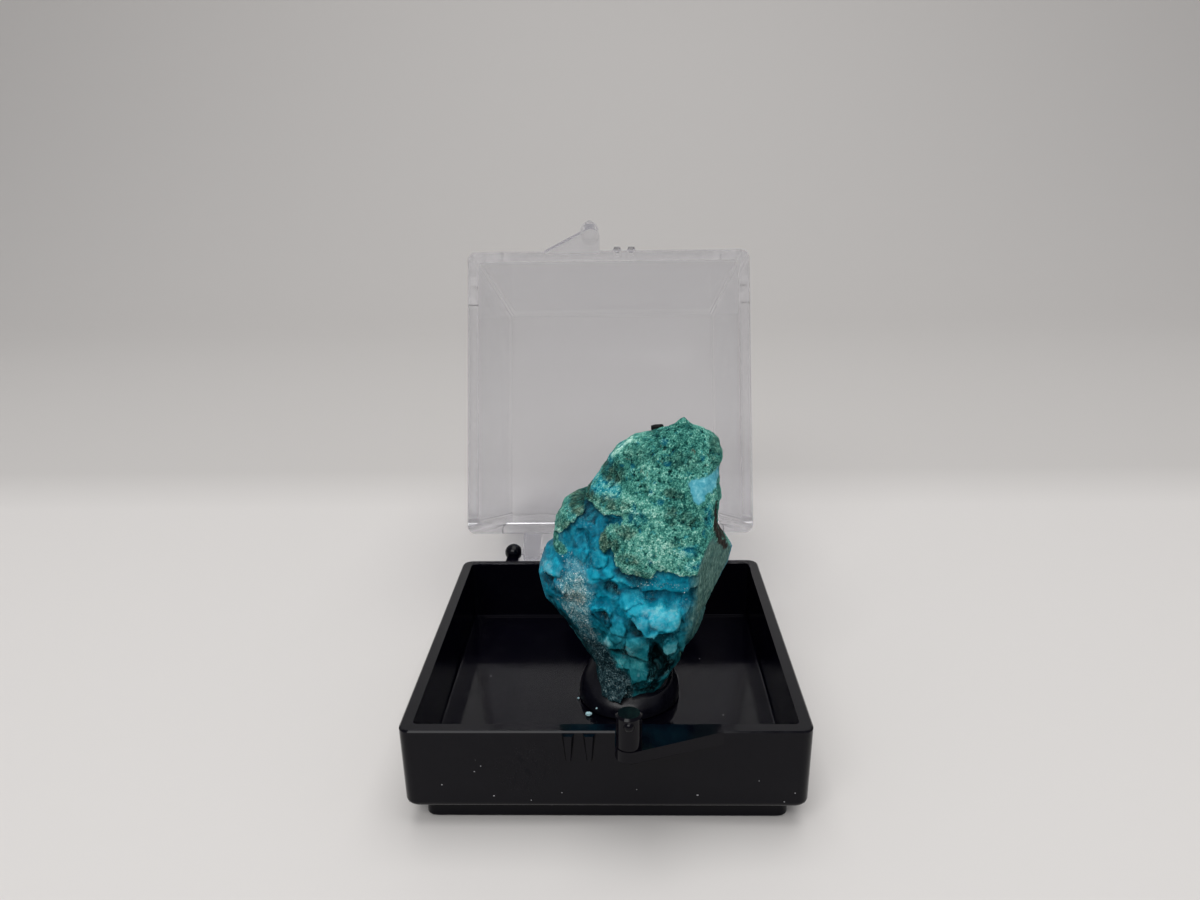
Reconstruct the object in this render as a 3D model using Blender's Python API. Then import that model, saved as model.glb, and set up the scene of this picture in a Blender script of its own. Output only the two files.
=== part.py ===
"""Chrysocolla thumbnail specimen, set on putty in a small hinged display box.

The box is a black moulded tray with a clear moulded lid. The lid is open: it has swung over on
the two ball hinges at the back until its far edge lies on the table. The stone stands on its
pointed lower end in a bun of black mounting putty on the tray's floor.

Lengths are millimetres in the constants and in every helper, and metres in the finished meshes.
X runs across the box, -Y is its front, +Z is up. The origin is the middle of the tray's foot,
on the table.
"""
import math

import bmesh
import bpy
import numpy as np
from mathutils import Matrix, Vector, noise

MM = 0.001

# ---- box: driving dimensions -------------------------------------------------------------
BOX_WIDTH = 31.75            # outside, square, at the rim: one and a quarter inches
BOX_HEIGHT = 41.9            # outside, shut
CORNER_RADIUS = 0.9          # upright corners
CORNER_STEPS = 4

FOOT_HEIGHT = 1.8            # the raised foot under the tray
FOOT_INSET = 1.4
BODY_HEIGHT = 7.0            # from the tray's underside to its rim
TRAY_WALL = 1.0
TRAY_DEPTH = 6.07            # from the rim down to the floor inside
TRAY_DRAFT = 0.11            # how much narrower each side is at the underside
TRAY_EDGE_RADIUS = 0.6

PARTING_GAP = 0.2            # between the two rims when the box is shut
LID_WALL = 1.25
LID_DRAFT = 0.15             # how much narrower each side is at the lid's top
LID_EDGE_RADIUS = 0.5

# ---- latch, one on each half, facing each other -----------------------------------------
PIN_RADIUS = 0.98
PIN_OUT = 1.6                # from the front face to the pin's middle
PIN_RISE = 2.7               # how far a pin reaches past its rim
PIN_CHAMFER = 0.16
FLANGE_THICK = 1.1
FLANGE_LIP = 0.07            # how far the flange's round end stands out past its pin
FLANGE_CHAMFER = 0.18
TRAY_PIN_X = 1.82
TRAY_FLANGE_END = 9.0
LID_PIN_X = -2.0
LID_FLANGE_END = -7.3
NUB_RADIUS = 0.44            # small snap nub on the front of each pin
NUB_SUNK = 0.2               # how far the nub's middle lies inside the pin
NUB_RISE = 2.05
RIB_SPACING = 1.6            # two ribs, one each side of the other half's pin
RIB_TOP = (0.50, 0.45)       # half width, how proud
RIB_TIP = (0.24, 0.28)
RIB_CREST = 0.6              # the proud edge's width as a share of the rib's
RIB_START = 0.15
RIB_LENGTH = 2.3
ROOT = 0.3                   # how deep a moulded detail is sunk in its wall

# ---- hinge --------------------------------------------------------------------------------
HINGE_OFFSET = 2.05          # from the back face to the axis
HINGE_CENTRES = (-8.6, 8.6)  # middle of each hinge, across the box
BALL_SPREAD = 2.1            # from a hinge's middle to each of its two balls
BALL_RADIUS = 0.95
POST_HALF_WIDTH = 0.72
POST_DROP = 2.4
LUG_HALF_WIDTH = 0.95
LUG_RISE = 2.6
STUB_RADIUS = 0.32
STUB_REACH = 1.45
DIMPLE_RADIUS = 0.5
DIMPLE_DEPTH = 0.5

RIM_Z = FOOT_HEIGHT + BODY_HEIGHT
FLOOR_Z = RIM_Z - TRAY_DEPTH
HALF = BOX_WIDTH / 2.0
AXIS_Y = HALF + HINGE_OFFSET
AXIS_Z = RIM_Z + PARTING_GAP / 2.0
LID_HEIGHT = BOX_HEIGHT - RIM_Z - PARTING_GAP
TABLE_CLEARANCE = 0.02       # between the open lid's far edge and the table

# ---- putty --------------------------------------------------------------------------------
PUTTY_CENTRE = (2.0, -0.8)
PUTTY_RADIUS = 4.6
PUTTY_HEIGHT = 3.5
PUTTY_ROUNDNESS = 2.6        # 2 is an ellipse, more is a squarer bun
PUTTY_SLOPE = 0.10           # how much taller it is per millimetre towards the back
REST_GAP = 0.15              # under the putty, so that it and the tray stay separate solids
SOCKET_GAP = 0.2             # round the stone's foot

# ---- stone --------------------------------------------------------------------------------
# Its heights are measured from the tray's floor.
STONE_BOTTOM = 1.0
STONE_TOP = 26.6
STONE_LEVELS = 46
STONE_ROUND = 54
SOCKET_TOP = 6.9             # the foot is carried up to here to press its socket
SOCKET_LEVELS = 12

# The stone's left and right sides, as seen from the front: (height, x).
LEFT_SIDE = ((1.0, -0.7), (2.1, -0.75), (3.8, -1.0), (5.4, -2.0), (7.0, -3.3), (8.5, -4.5),
             (9.7, -5.6), (10.6, -5.85), (12.2, -6.05), (12.8, -5.9), (13.7, -5.6), (14.3, -5.5),
             (14.8, -4.8), (16.0, -4.65), (17.1, -4.4), (18.2, -4.0), (18.7, -3.05),
             (19.1, -1.95), (20.1, -1.35), (21.2, -0.75), (22.2, 0.1), (23.5, 1.0), (24.4, 2.1),
             (25.0, 4.1), (25.3, 5.05), (25.8, 5.95), (26.2, 6.4), (26.6, 6.7))
RIGHT_SIDE = ((1.0, 3.7), (2.0, 4.8), (3.2, 5.65), (4.3, 6.6), (5.6, 6.4), (6.6, 7.35),
              (8.3, 8.4), (9.8, 8.6), (11.3, 9.85), (12.7, 11.1), (14.0, 11.5), (14.7, 11.15),
              (15.4, 10.5), (16.3, 9.8), (17.4, 9.65), (18.9, 9.8), (19.9, 10.0), (20.8, 9.7),
              (22.3, 9.5), (23.3, 10.0), (24.1, 9.85), (24.8, 9.3), (25.5, 8.15), (25.9, 7.3),
              (26.2, 6.95), (26.6, 6.8))
# Depth of the side edges and of the back, (height, y).
SIDE_DEPTH = ((1.0, -2.0), (3.9, -1.8), (7.9, -0.8), (12.9, 0.0), (18.9, 0.4), (26.6, 0.5))
BACK_DEPTH = ((1.0, 0.3), (2.9, 1.2), (5.9, 2.6), (9.9, 4.4), (13.9, 5.6), (17.9, 5.6),
              (21.9, 4.4), (24.9, 2.6), (26.2, 1.2), (26.6, 0.7))
# The front, as a sheet through these points: (x, height, y).
FRONT_POINTS = ((6.8, 26.4, 0.0), (3.6, 25.0, 0.1), (9.5, 24.7, -0.4), (0.9, 23.1, 0.1),
                (3.5, 22.9, -1.6), (6.5, 22.9, -2.3), (9.3, 22.9, -1.9), (-1.8, 20.1, -0.2),
                (1.0, 19.9, -2.5), (4.5, 19.9, -3.7), (8.0, 19.9, -3.9), (9.6, 19.9, -3.4),
                (-4.4, 17.2, -0.8), (-2.5, 17.4, -2.2), (1.0, 17.4, -4.0), (5.0, 17.4, -5.0),
                (8.8, 17.4, -4.9), (-4.8, 14.9, -1.0), (-3.0, 14.9, -2.5), (0.5, 14.9, -4.4),
                (4.0, 14.9, -5.7), (8.4, 14.7, -5.7), (-5.8, 12.3, -1.0), (-3.5, 12.4, -3.0),
                (0.0, 12.4, -4.6), (4.0, 12.4, -5.5), (8.0, 12.4, -5.4), (-4.8, 9.5, -1.4),
                (-2.5, 9.4, -3.2), (1.0, 9.4, -4.7), (4.5, 9.4, -5.4), (7.6, 9.4, -4.9),
                (-2.8, 6.5, -1.8), (0.0, 6.4, -3.7), (3.0, 6.4, -4.8), (6.5, 6.4, -4.4),
                (-0.9, 3.5, -2.8), (1.0, 3.4, -4.1), (3.3, 3.4, -4.6), (5.3, 3.4, -3.9),
                (-0.4, 1.0, -3.3), (0.9, 1.0, -4.3), (2.6, 1.0, -4.1), (3.7, 1.0, -3.5))
# The green crust ends below along this line, (x, height), and stands proud of what it covers.
CRUST_LIP = ((-7.0, 17.2), (-3.9, 17.5), (-2.6, 18.1), (-1.4, 19.4), (-0.5, 17.9), (0.2, 15.9),
             (1.0, 16.3), (1.6, 15.4), (2.2, 14.8), (3.7, 14.5), (5.5, 14.7), (7.6, 14.3),
             (12.0, 14.5))
CRUST_THICKNESS = 0.6
CRUST_STEP = 0.5             # height over which the lip falls away
# A second ledge below the lip, with a hollow under it: (x, height).
LEDGE_LINE = ((1.2, 13.8), (2.0, 13.4), (3.3, 12.8), (5.0, 12.8), (7.1, 12.8), (7.9, 13.1))
LEDGE_HOLLOW = 0.9
LEDGE_STEP = 0.45            # height over which the ledge falls away
LEDGE_FADE = 1.5             # and over which the hollow runs out again below it
# Broken blocks standing out of the blue half: x, height, half width, half height, how proud,
# and how much prouder per millimetre to the right and upwards.
BLOCKS = ((4.9, 10.3, 2.0, 1.9, 1.15, 0.05, -0.1), (-0.5, 8.8, 1.1, 1.6, 0.6, 0.2, 0.1),
          (2.0, 9.5, 1.0, 2.6, 0.55, 0.1, 0.05), (6.6, 7.1, 1.0, 1.1, 0.7, -0.1, 0.1),
          (3.2, 6.5, 1.3, 1.2, 0.45, 0.15, -0.2), (1.2, 4.9, 1.2, 1.5, 0.5, 0.2, 0.1),
          (3.4, 3.1, 1.3, 1.6, 0.4, -0.15, 0.1), (0.4, 12.5, 1.1, 1.6, 0.6, 0.25, 0.1),
          (-4.7, 11.0, 1.0, 1.2, 0.6, 0.1, 0.2), (-3.0, 14.5, 1.4, 1.3, 0.45, 0.2, 0.15),
          (-0.9, 15.7, 0.9, 1.2, 0.5, -0.2, 0.1), (7.4, 10.9, 0.7, 1.6, 0.35, -0.2, 0.0),
          (0.5, 2.7, 1.2, 1.2, 0.6, -0.1, -0.3))
BLOCK_SQUARENESS = 3.0
BLOCK_WALL = 2.2             # how steeply a block's sides fall
FRONT_SQUARENESS = 8.0       # how squarely the front turns into the sides
SIDE_ROUNDNESS = 0.25
BACK_ROUNDNESS = 0.7
# Pits: x, height, radius, depth.
PITS = ((0.9, 22.2, 0.7, 0.35), (3.2, 20.9, 0.6, 0.35), (6.6, 24.2, 0.8, 0.3),
        (7.6, 18.5, 0.7, 0.3), (1.6, 18.7, 0.9, 0.45), (-2.0, 16.5, 0.8, 0.5),
        (2.9, 11.9, 0.8, 0.6), (5.2, 4.8, 0.9, 0.55), (-2.6, 10.5, 0.9, 0.45))
# Flat broken faces, each a point on the face and the way it looks.
FACES = (
    ((8.6, -4.8, 15.9), (0.875, -0.455, -0.16)),  # long smooth flank on the right
    ((4.5, 4.6, 15.9), (0.25, 0.95, 0.18)),       # back, right
    ((-1.5, 4.2, 13.9), (-0.55, 0.83, 0.05)),     # back, left
    ((2.5, 3.6, 6.4), (0.10, 0.88, -0.46)),       # back, running down to the foot
    ((5.0, 2.4, 23.9), (0.05, 0.62, 0.78)))       # behind the crest
FACE_PULL = 0.93             # how much of what stands beyond a face is taken off
LUMP_SIZE = 2.6
LUMP_HEIGHT = 0.30
GRAIN_SIZE = 0.9
GRAIN_HEIGHT = 0.12


# ---- small helpers ------------------------------------------------------------------------
def material(name, colour, roughness, alpha=1.0, transmission=0.0):
    mat = bpy.data.materials.new(name)
    mat.use_nodes = True
    shader = mat.node_tree.nodes["Principled BSDF"]
    shader.inputs["Base Color"].default_value = (*colour, 1.0)
    shader.inputs["Roughness"].default_value = roughness
    shader.inputs["Metallic"].default_value = 0.0
    shader.inputs["Alpha"].default_value = alpha
    shader.inputs["Transmission Weight"].default_value = transmission
    return mat


def finish_mesh(name, bm, smooth_angle=35.0):
    """Turn a bmesh in millimetres into a mesh in metres with its faces pointing out."""
    bmesh.ops.remove_doubles(bm, verts=bm.verts, dist=1e-5)
    bmesh.ops.recalc_face_normals(bm, faces=bm.faces)
    bmesh.ops.scale(bm, vec=(MM, MM, MM), verts=bm.verts)
    mesh = bpy.data.meshes.new(name)
    bm.to_mesh(mesh)
    bm.free()
    mesh.shade_smooth()
    mesh.set_sharp_from_angle(angle=math.radians(smooth_angle))
    return mesh


def add_object(name, mesh, mat=None):
    obj = bpy.data.objects.new(name, mesh)
    bpy.context.scene.collection.objects.link(obj)
    if mat:
        mesh.materials.append(mat)
    return obj


def guide(name, mesh):
    """A shape that only cuts or joins: it isn't a piece of its own."""
    obj = add_object(name, mesh)
    obj.hide_render = True
    obj.display_type = "WIRE"
    return obj


def combine(target, tool, operation):
    mod = target.modifiers.new(tool.name, "BOOLEAN")
    mod.operation = operation
    mod.solver = "EXACT"
    mod.object = tool
    tool.parent = target


def ring(bm, half, corner, z):
    """A square with rounded corners, anticlockwise from above."""
    verts = []
    for quarter in range(4):
        turn = quarter * math.pi / 2
        centre = Vector((half - corner, half - corner, 0))
        for step in range(CORNER_STEPS + 1):
            angle = step / CORNER_STEPS * math.pi / 2
            point = centre + corner * Vector((math.cos(angle), math.sin(angle), 0))
            point.rotate(Matrix.Rotation(turn, 3, "Z"))
            verts.append(bm.verts.new((point.x, point.y, z)))
    return verts


def loft(bm, rings, close_ends=True):
    """Skin neighbouring rings of the same count with quads, and cap the two ends."""
    for lower, upper in zip(rings, rings[1:]):
        count = len(lower)
        for i in range(count):
            j = (i + 1) % count
            bm.faces.new((lower[i], lower[j], upper[j], upper[i]))
    if close_ends:
        bm.faces.new(rings[0])
        bm.faces.new(rings[-1])


def hull(name, points):
    """The solid stretched tightly round some points."""
    bm = bmesh.new()
    for point in points:
        bm.verts.new(point)
    bmesh.ops.convex_hull(bm, input=bm.verts)
    loose = [v for v in bm.verts if not v.link_faces]
    bmesh.ops.delete(bm, geom=loose, context="VERTS")
    return finish_mesh(name, bm)


def circle(radius, steps, centre=(0.0, 0.0)):
    points = []
    for i in range(steps):
        angle = 2 * math.pi * (i + 0.5) / steps
        points.append((centre[0] + radius * math.cos(angle), centre[1] + radius * math.sin(angle)))
    return points


def rod_along_x(name, radius, x0, x1, y, z, steps=16):
    rounds = circle(radius, steps, (y, z))
    return hull(name, [(x, a, b) for x in (x0, x1) for a, b in rounds])


# ---- tray ---------------------------------------------------------------------------------
def edge_arc(half, z, radius, rising, steps=4):
    """Rounded edge between a flat underside (or top) and an upright wall, as (half, z) pairs."""
    sign = 1 if rising else -1
    pairs = []
    for step in range(steps + 1):
        angle = step / steps * math.pi / 2
        pairs.append((half - radius + radius * math.sin(angle),
                      z + sign * radius * (1 - math.cos(angle))))
    return pairs


def tray_shell():
    bm = bmesh.new()
    foot = HALF - FOOT_INSET
    under = HALF - TRAY_DRAFT
    inner = HALF - TRAY_WALL
    floor_fillet = 0.3
    rim_round = 0.12
    profile = [(foot - 0.15, 0.0, CORNER_RADIUS), (foot, 0.15, CORNER_RADIUS),
               (foot, FOOT_HEIGHT, CORNER_RADIUS)]
    for half, z in edge_arc(under, FOOT_HEIGHT, TRAY_EDGE_RADIUS, rising=True):
        profile.append((half, z, CORNER_RADIUS))
    profile += [(HALF, RIM_Z - rim_round, CORNER_RADIUS),
                (HALF - rim_round, RIM_Z, CORNER_RADIUS),
                (inner, RIM_Z, CORNER_RADIUS - 0.5),
                (inner - 0.08, FLOOR_Z + floor_fillet, CORNER_RADIUS - 0.5),
                (inner - 0.08 - floor_fillet * 0.3, FLOOR_Z + floor_fillet * 0.3, 0.3),
                (inner - 0.08 - floor_fillet, FLOOR_Z, 0.2)]
    loft(bm, [ring(bm, half, corner, z) for half, z, corner in profile])
    return finish_mesh("tray", bm)


def latch_parts(name, pin_x, flange_end):
    """Flange, pin and nub against a front face at y = 0, below a rim plane at z = 0."""
    middle = (pin_x, -PIN_OUT)
    round_end = PIN_RADIUS + FLANGE_LIP
    side = pin_x - math.copysign(round_end, flange_end - pin_x)
    wall = [(flange_end, 0.0), (flange_end, ROOT), (side, ROOT)]
    flange = [(x, y, z) for x, y in circle(round_end, 24, middle) + wall
              for z in (FLANGE_CHAMFER - FLANGE_THICK, 0.0)]
    flange += [(x, y, -FLANGE_THICK)
               for x, y in circle(round_end - FLANGE_CHAMFER, 24, middle) + wall]
    pin = [(x, y, z) for x, y in circle(PIN_RADIUS, 24, middle)
           for z in (-ROOT, PIN_RISE - PIN_CHAMFER)]
    pin += [(x, y, PIN_RISE) for x, y in circle(PIN_RADIUS - PIN_CHAMFER, 24, middle)]
    bm = bmesh.new()
    place = Matrix.Translation((pin_x, -PIN_OUT - PIN_RADIUS + NUB_SUNK, NUB_RISE))
    bmesh.ops.create_uvsphere(bm, u_segments=12, v_segments=8, radius=NUB_RADIUS, matrix=place)
    return [guide(name + "_flange", hull(name + "_flange", flange)),
            guide(name + "_pin", hull(name + "_pin", pin)),
            guide(name + "_nub", finish_mesh(name + "_nub", bm))]


def rib_parts(name, centre_x):
    """Two tapered ribs on a front face at y = 0, just below a rim plane at z = 0."""
    ribs = []
    for side in (-1, 1):
        x = centre_x + side * RIB_SPACING / 2
        points = []
        for (half_width, proud), z in ((RIB_TOP, -RIB_START), (RIB_TIP, -RIB_START - RIB_LENGTH)):
            for dx in (-half_width, half_width):
                points += [(x + dx, ROOT, z), (x + dx, 0.0, z), (x + dx * RIB_CREST, -proud, z)]
        ribs.append(guide(f"{name}_{side}", hull(f"{name}_{side}", points)))
    return ribs


def place_front_details(parts, matrix):
    for part in parts:
        part.data.transform(matrix)


def hinge_posts():
    """Four balls on short posts behind the tray, each pair open between for the lid's lug."""
    joins = []
    cuts = []
    for centre in HINGE_CENTRES:
        for side in (-1, 1):
            x = centre + side * BALL_SPREAD
            label = f"post_{'left' if centre < 0 else 'right'}_{'a' if side < 0 else 'b'}"
            bm = bmesh.new()
            place = Matrix.Translation((x, AXIS_Y, AXIS_Z)) @ Matrix.Rotation(math.pi / 2, 4, "Y")
            bmesh.ops.create_uvsphere(bm, u_segments=16, v_segments=10, radius=BALL_RADIUS,
                                      matrix=place)
            joins.append(guide(label + "_ball", finish_mesh(label + "_ball", bm)))
            wide = POST_HALF_WIDTH
            neck = POST_HALF_WIDTH * 0.85
            points = []
            for dx in (-1, 1):
                points += [(x + dx * wide, HALF - ROOT, RIM_Z - 0.15),
                           (x + dx * wide, HALF - ROOT, RIM_Z - POST_DROP),
                           (x + dx * neck, AXIS_Y - 0.2, AXIS_Z - 0.25),
                           (x + dx * neck, AXIS_Y + 0.1, AXIS_Z - 0.8)]
            joins.append(guide(label, hull(label, points)))
            near = x - side * BALL_RADIUS
            rod = rod_along_x(label + "_dimple", DIMPLE_RADIUS, near - side * 0.4,
                              near + side * DIMPLE_DEPTH, AXIS_Y, AXIS_Z)
            cuts.append(guide(label + "_dimple", rod))
    return joins, cuts


def build_tray():
    tray = add_object("tray", tray_shell(), material("black_plastic", (0.012, 0.013, 0.016), 0.18))
    front = Matrix.Translation((0, -HALF * MM, RIM_Z * MM))
    details = latch_parts("tray_latch", TRAY_PIN_X, TRAY_FLANGE_END)
    details += rib_parts("tray_rib", LID_PIN_X)
    place_front_details(details, front)
    joins, cuts = hinge_posts()
    for piece in details + joins:
        combine(tray, piece, "UNION")
    for piece in cuts:
        combine(tray, piece, "DIFFERENCE")
    return tray


# ---- lid ----------------------------------------------------------------------------------
def lid_open_angle():
    """How far the lid has swung back when the round of its far edge reaches the table."""
    y = HINGE_OFFSET + LID_DRAFT + LID_EDGE_RADIUS
    z = PARTING_GAP / 2 + LID_HEIGHT - LID_EDGE_RADIUS
    reach = math.hypot(y, z)
    return math.atan2(y, z) + math.acos((LID_EDGE_RADIUS + TABLE_CLEARANCE - AXIS_Z) / reach)


def lid_shell():
    """Shut lid, with z = 0 on its rim plane and centred on the box."""
    bm = bmesh.new()
    top = HALF - LID_DRAFT
    inside_fillet = 0.35
    ceiling = LID_HEIGHT - LID_WALL
    profile = []
    for half, z in edge_arc(top, LID_HEIGHT, LID_EDGE_RADIUS, rising=False):
        profile.append((half, z, CORNER_RADIUS))
    profile += [(HALF, 0.12, CORNER_RADIUS), (HALF - 0.12, 0.0, CORNER_RADIUS),
                (HALF - LID_WALL, 0.0, CORNER_RADIUS - 0.5),
                (top - LID_WALL, ceiling - inside_fillet, CORNER_RADIUS - 0.5),
                (top - LID_WALL - inside_fillet * 0.3, ceiling - inside_fillet * 0.3, 0.3),
                (top - LID_WALL - inside_fillet, ceiling, 0.2)]
    loft(bm, [ring(bm, half, corner, z) for half, z, corner in profile])
    return finish_mesh("lid", bm)


def build_lid():
    """The lid's own origin is on the hinge axis, and its turn about X is how far it is open."""
    lid = add_object("lid", lid_shell(), material("clear_plastic", (0.93, 0.94, 0.96), 0.06,
                                                  alpha=0.3, transmission=1.0))
    to_axis = Matrix.Translation((0, -AXIS_Y * MM, PARTING_GAP / 2 * MM))
    lid.data.transform(to_axis)
    upside_down = Matrix.Rotation(math.pi, 4, "Y")
    front = Matrix.Translation((0, -(AXIS_Y + HALF) * MM, PARTING_GAP / 2 * MM))
    details = latch_parts("lid_latch", -LID_PIN_X, -LID_FLANGE_END)
    details += rib_parts("lid_rib", -TRAY_PIN_X)
    place_front_details(details, front @ upside_down)
    for centre in HINGE_CENTRES:
        label = "lug_left" if centre < 0 else "lug_right"
        points = []
        for x in (centre - LUG_HALF_WIDTH, centre + LUG_HALF_WIDTH):
            points += [(x, y, z) for y, z in circle(BALL_RADIUS, 18)]
            for z in (PARTING_GAP / 2 + ROOT, LUG_RISE):
                points.append((x, -HINGE_OFFSET - ROOT, z))
                points.append((x, -HINGE_OFFSET, z))
        details.append(guide(label, hull(label, points)))
        stub = rod_along_x(label + "_stub", STUB_RADIUS, centre - STUB_REACH,
                           centre + STUB_REACH, 0.0, 0.0, steps=12)
        details.append(guide(label + "_stub", stub))
    for piece in details:
        combine(lid, piece, "UNION")
    lid.location = (0, AXIS_Y * MM, AXIS_Z * MM)
    lid.rotation_euler = (-lid_open_angle(), 0, 0)
    return lid


# ---- stone --------------------------------------------------------------------------------
def along(table, value):
    """Value read off a list of (position, value) pairs."""
    positions, values = zip(*table)
    return float(np.interp(value, positions, values))


def sheet_through(points):
    """A smooth sheet y(x, z) through given points, bent as little as it can be."""
    data = np.array(points, dtype=float)
    xz = data[:, :2]
    count = len(data)

    def bend(squared):
        return 0.5 * squared * np.log(squared + 1e-9)

    gaps = ((xz[:, None, :] - xz[None, :, :]) ** 2).sum(axis=2)
    flat = np.hstack([np.ones((count, 1)), xz])
    system = np.zeros((count + 3, count + 3))
    system[:count, :count] = bend(gaps) + 0.05 * np.eye(count)
    system[:count, count:] = flat
    system[count:, :count] = flat.T
    weights = np.linalg.solve(system, np.append(data[:, 2], (0.0, 0.0, 0.0)))

    def sheet(x, z):
        squared = (xz[:, 0] - x) ** 2 + (xz[:, 1] - z) ** 2
        return float(bend(squared) @ weights[:count] + weights[count:] @ np.array([1.0, x, z]))

    return sheet


FRONT_SHEET = sheet_through(FRONT_POINTS)


def ease(value):
    """0 below 0, 1 above 1 and smooth between."""
    value = min(max(value, 0.0), 1.0)
    return value * value * (3.0 - 2.0 * value)


def front_relief(x, z):
    """How far the crust, ledges and blocks stand out of the front sheet, less the pits."""
    proud = CRUST_THICKNESS * ease((z - along(CRUST_LIP, x)) / CRUST_STEP + 0.5)
    below = along(LEDGE_LINE, x) - z
    inside = ease(x - LEDGE_LINE[0][0]) * ease(LEDGE_LINE[-1][0] + 0.6 - x)
    if below > 0:
        proud -= inside * LEDGE_HOLLOW * ease(below / LEDGE_STEP) * ease(1.6 - below / LEDGE_FADE)
    lift = 0.0
    for bx, bz, half_width, half_height, height, lean_x, lean_z in BLOCKS:
        across = abs((x - bx) / half_width) ** BLOCK_SQUARENESS
        along_z = abs((z - bz) / half_height) ** BLOCK_SQUARENESS
        inside = min(max((1.0 - across - along_z) * BLOCK_WALL, 0.0), 1.0)
        lift = max(lift, inside * (height + lean_x * (x - bx) + lean_z * (z - bz)))
    proud += lift
    for px, pz, radius, depth in PITS:
        away = math.hypot(x - px, z - pz) / radius
        if away < 1.0:
            proud -= depth * (1.0 - away * away)
    return proud


def lumpy(x, y, z):
    """Small lumps and grains of the broken surface."""
    coarse = noise.noise(Vector((x, y, z)) / LUMP_SIZE + Vector((3.1, 7.7, 1.3)))
    cells = noise.voronoi(Vector((x, y, z)) / LUMP_SIZE)[0]
    fine = noise.noise(Vector((x, y, z)) / GRAIN_SIZE)
    return LUMP_HEIGHT * (coarse + 0.8 * (0.45 - cells[0])) + GRAIN_HEIGHT * fine


def pull_to_faces(point):
    """Flatten what stands beyond each broken face."""
    for origin, facing in FACES:
        normal = Vector(facing).normalized()
        beyond = (point - Vector(origin)).dot(normal)
        if beyond > 0.0:
            point = point - normal * beyond * FACE_PULL
    return point


def stone_point(z, turn, grow=0.0):
    """Point of the stone's skin at a height, a part of a full turn round from its left side."""
    left = along(LEFT_SIDE, z)
    right = along(RIGHT_SIDE, z)
    middle = (left + right) / 2
    half = (right - left) / 2
    side = along(SIDE_DEPTH, z)
    angle = 2 * math.pi * turn
    u = -math.cos(angle)
    v = math.sin(angle)
    x = middle + half * u
    if v >= 0.0:
        depth = side - (FRONT_SHEET(x, z) - front_relief(x, z))
        y = side - depth * (1.0 - abs(u) ** FRONT_SQUARENESS) ** SIDE_ROUNDNESS
    else:
        depth = along(BACK_DEPTH, z) - side
        y = side + depth * (-v) ** BACK_ROUNDNESS
    outward = Vector((u / half, (y - side) / max(depth, 0.5) ** 2, 0.0)).normalized()
    point = Vector((x, y, z)) + outward * lumpy(x, y, z)
    return pull_to_faces(point) + outward * grow


def stone_mesh(name, top, levels, grow=0.0):
    bm = bmesh.new()
    rings = []
    bottom = STONE_BOTTOM - grow
    for level in range(levels + 1):
        z = bottom + (top - bottom) * level / levels
        row = []
        for step in range(STONE_ROUND):
            point = stone_point(max(z, STONE_BOTTOM), step / STONE_ROUND, grow)
            point.z += FLOOR_Z + min(z - STONE_BOTTOM, 0.0)
            row.append(bm.verts.new(point))
        rings.append(row)
    loft(bm, rings, close_ends=False)
    for row in (rings[0], rings[-1]):
        centre = sum((v.co for v in row), Vector()) / len(row)
        tip = bm.verts.new(centre)
        for i, vert in enumerate(row):
            bm.faces.new((vert, row[(i + 1) % len(row)], tip))
    bmesh.ops.triangulate(bm, faces=bm.faces)
    return finish_mesh(name, bm, smooth_angle=40.0)


def build_stone():
    return add_object("specimen", stone_mesh("specimen", STONE_TOP, STONE_LEVELS),
                      material("chrysocolla", (0.02, 0.33, 0.36), 0.75))


# ---- putty --------------------------------------------------------------------------------
def build_putty():
    """A turned bun of putty, squashed a little unevenly, with a socket for the stone's foot."""
    bm = bmesh.new()
    turns = 36
    heights = [math.sin(step / 9 * math.pi / 2) for step in range(9)]
    rings = []
    for height in heights:
        radius = PUTTY_RADIUS * (1 - height ** PUTTY_ROUNDNESS) ** (1 / PUTTY_ROUNDNESS)
        row = []
        for i in range(turns):
            angle = 2 * math.pi * i / turns
            dent = 1 + 0.025 * noise.noise(Vector((math.cos(angle), math.sin(angle), height)) * 1.4)
            back = radius * dent * math.sin(angle)
            rise = PUTTY_HEIGHT * height * (1 + PUTTY_SLOPE * back)
            row.append(bm.verts.new((PUTTY_CENTRE[0] + radius * dent * math.cos(angle),
                                     PUTTY_CENTRE[1] + back, FLOOR_Z + REST_GAP + rise)))
        rings.append(row)
    loft(bm, rings)
    putty = add_object("putty", finish_mesh("putty", bm),
                       material("black_putty", (0.010, 0.010, 0.013), 0.4))
    socket = guide("socket", stone_mesh("socket", SOCKET_TOP, SOCKET_LEVELS, grow=SOCKET_GAP))
    combine(putty, socket, "DIFFERENCE")
    return putty


def main():
    for obj in list(bpy.data.objects):
        bpy.data.objects.remove(obj, do_unlink=True)
    build_tray()
    build_lid()
    build_putty()
    build_stone()


main()
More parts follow.
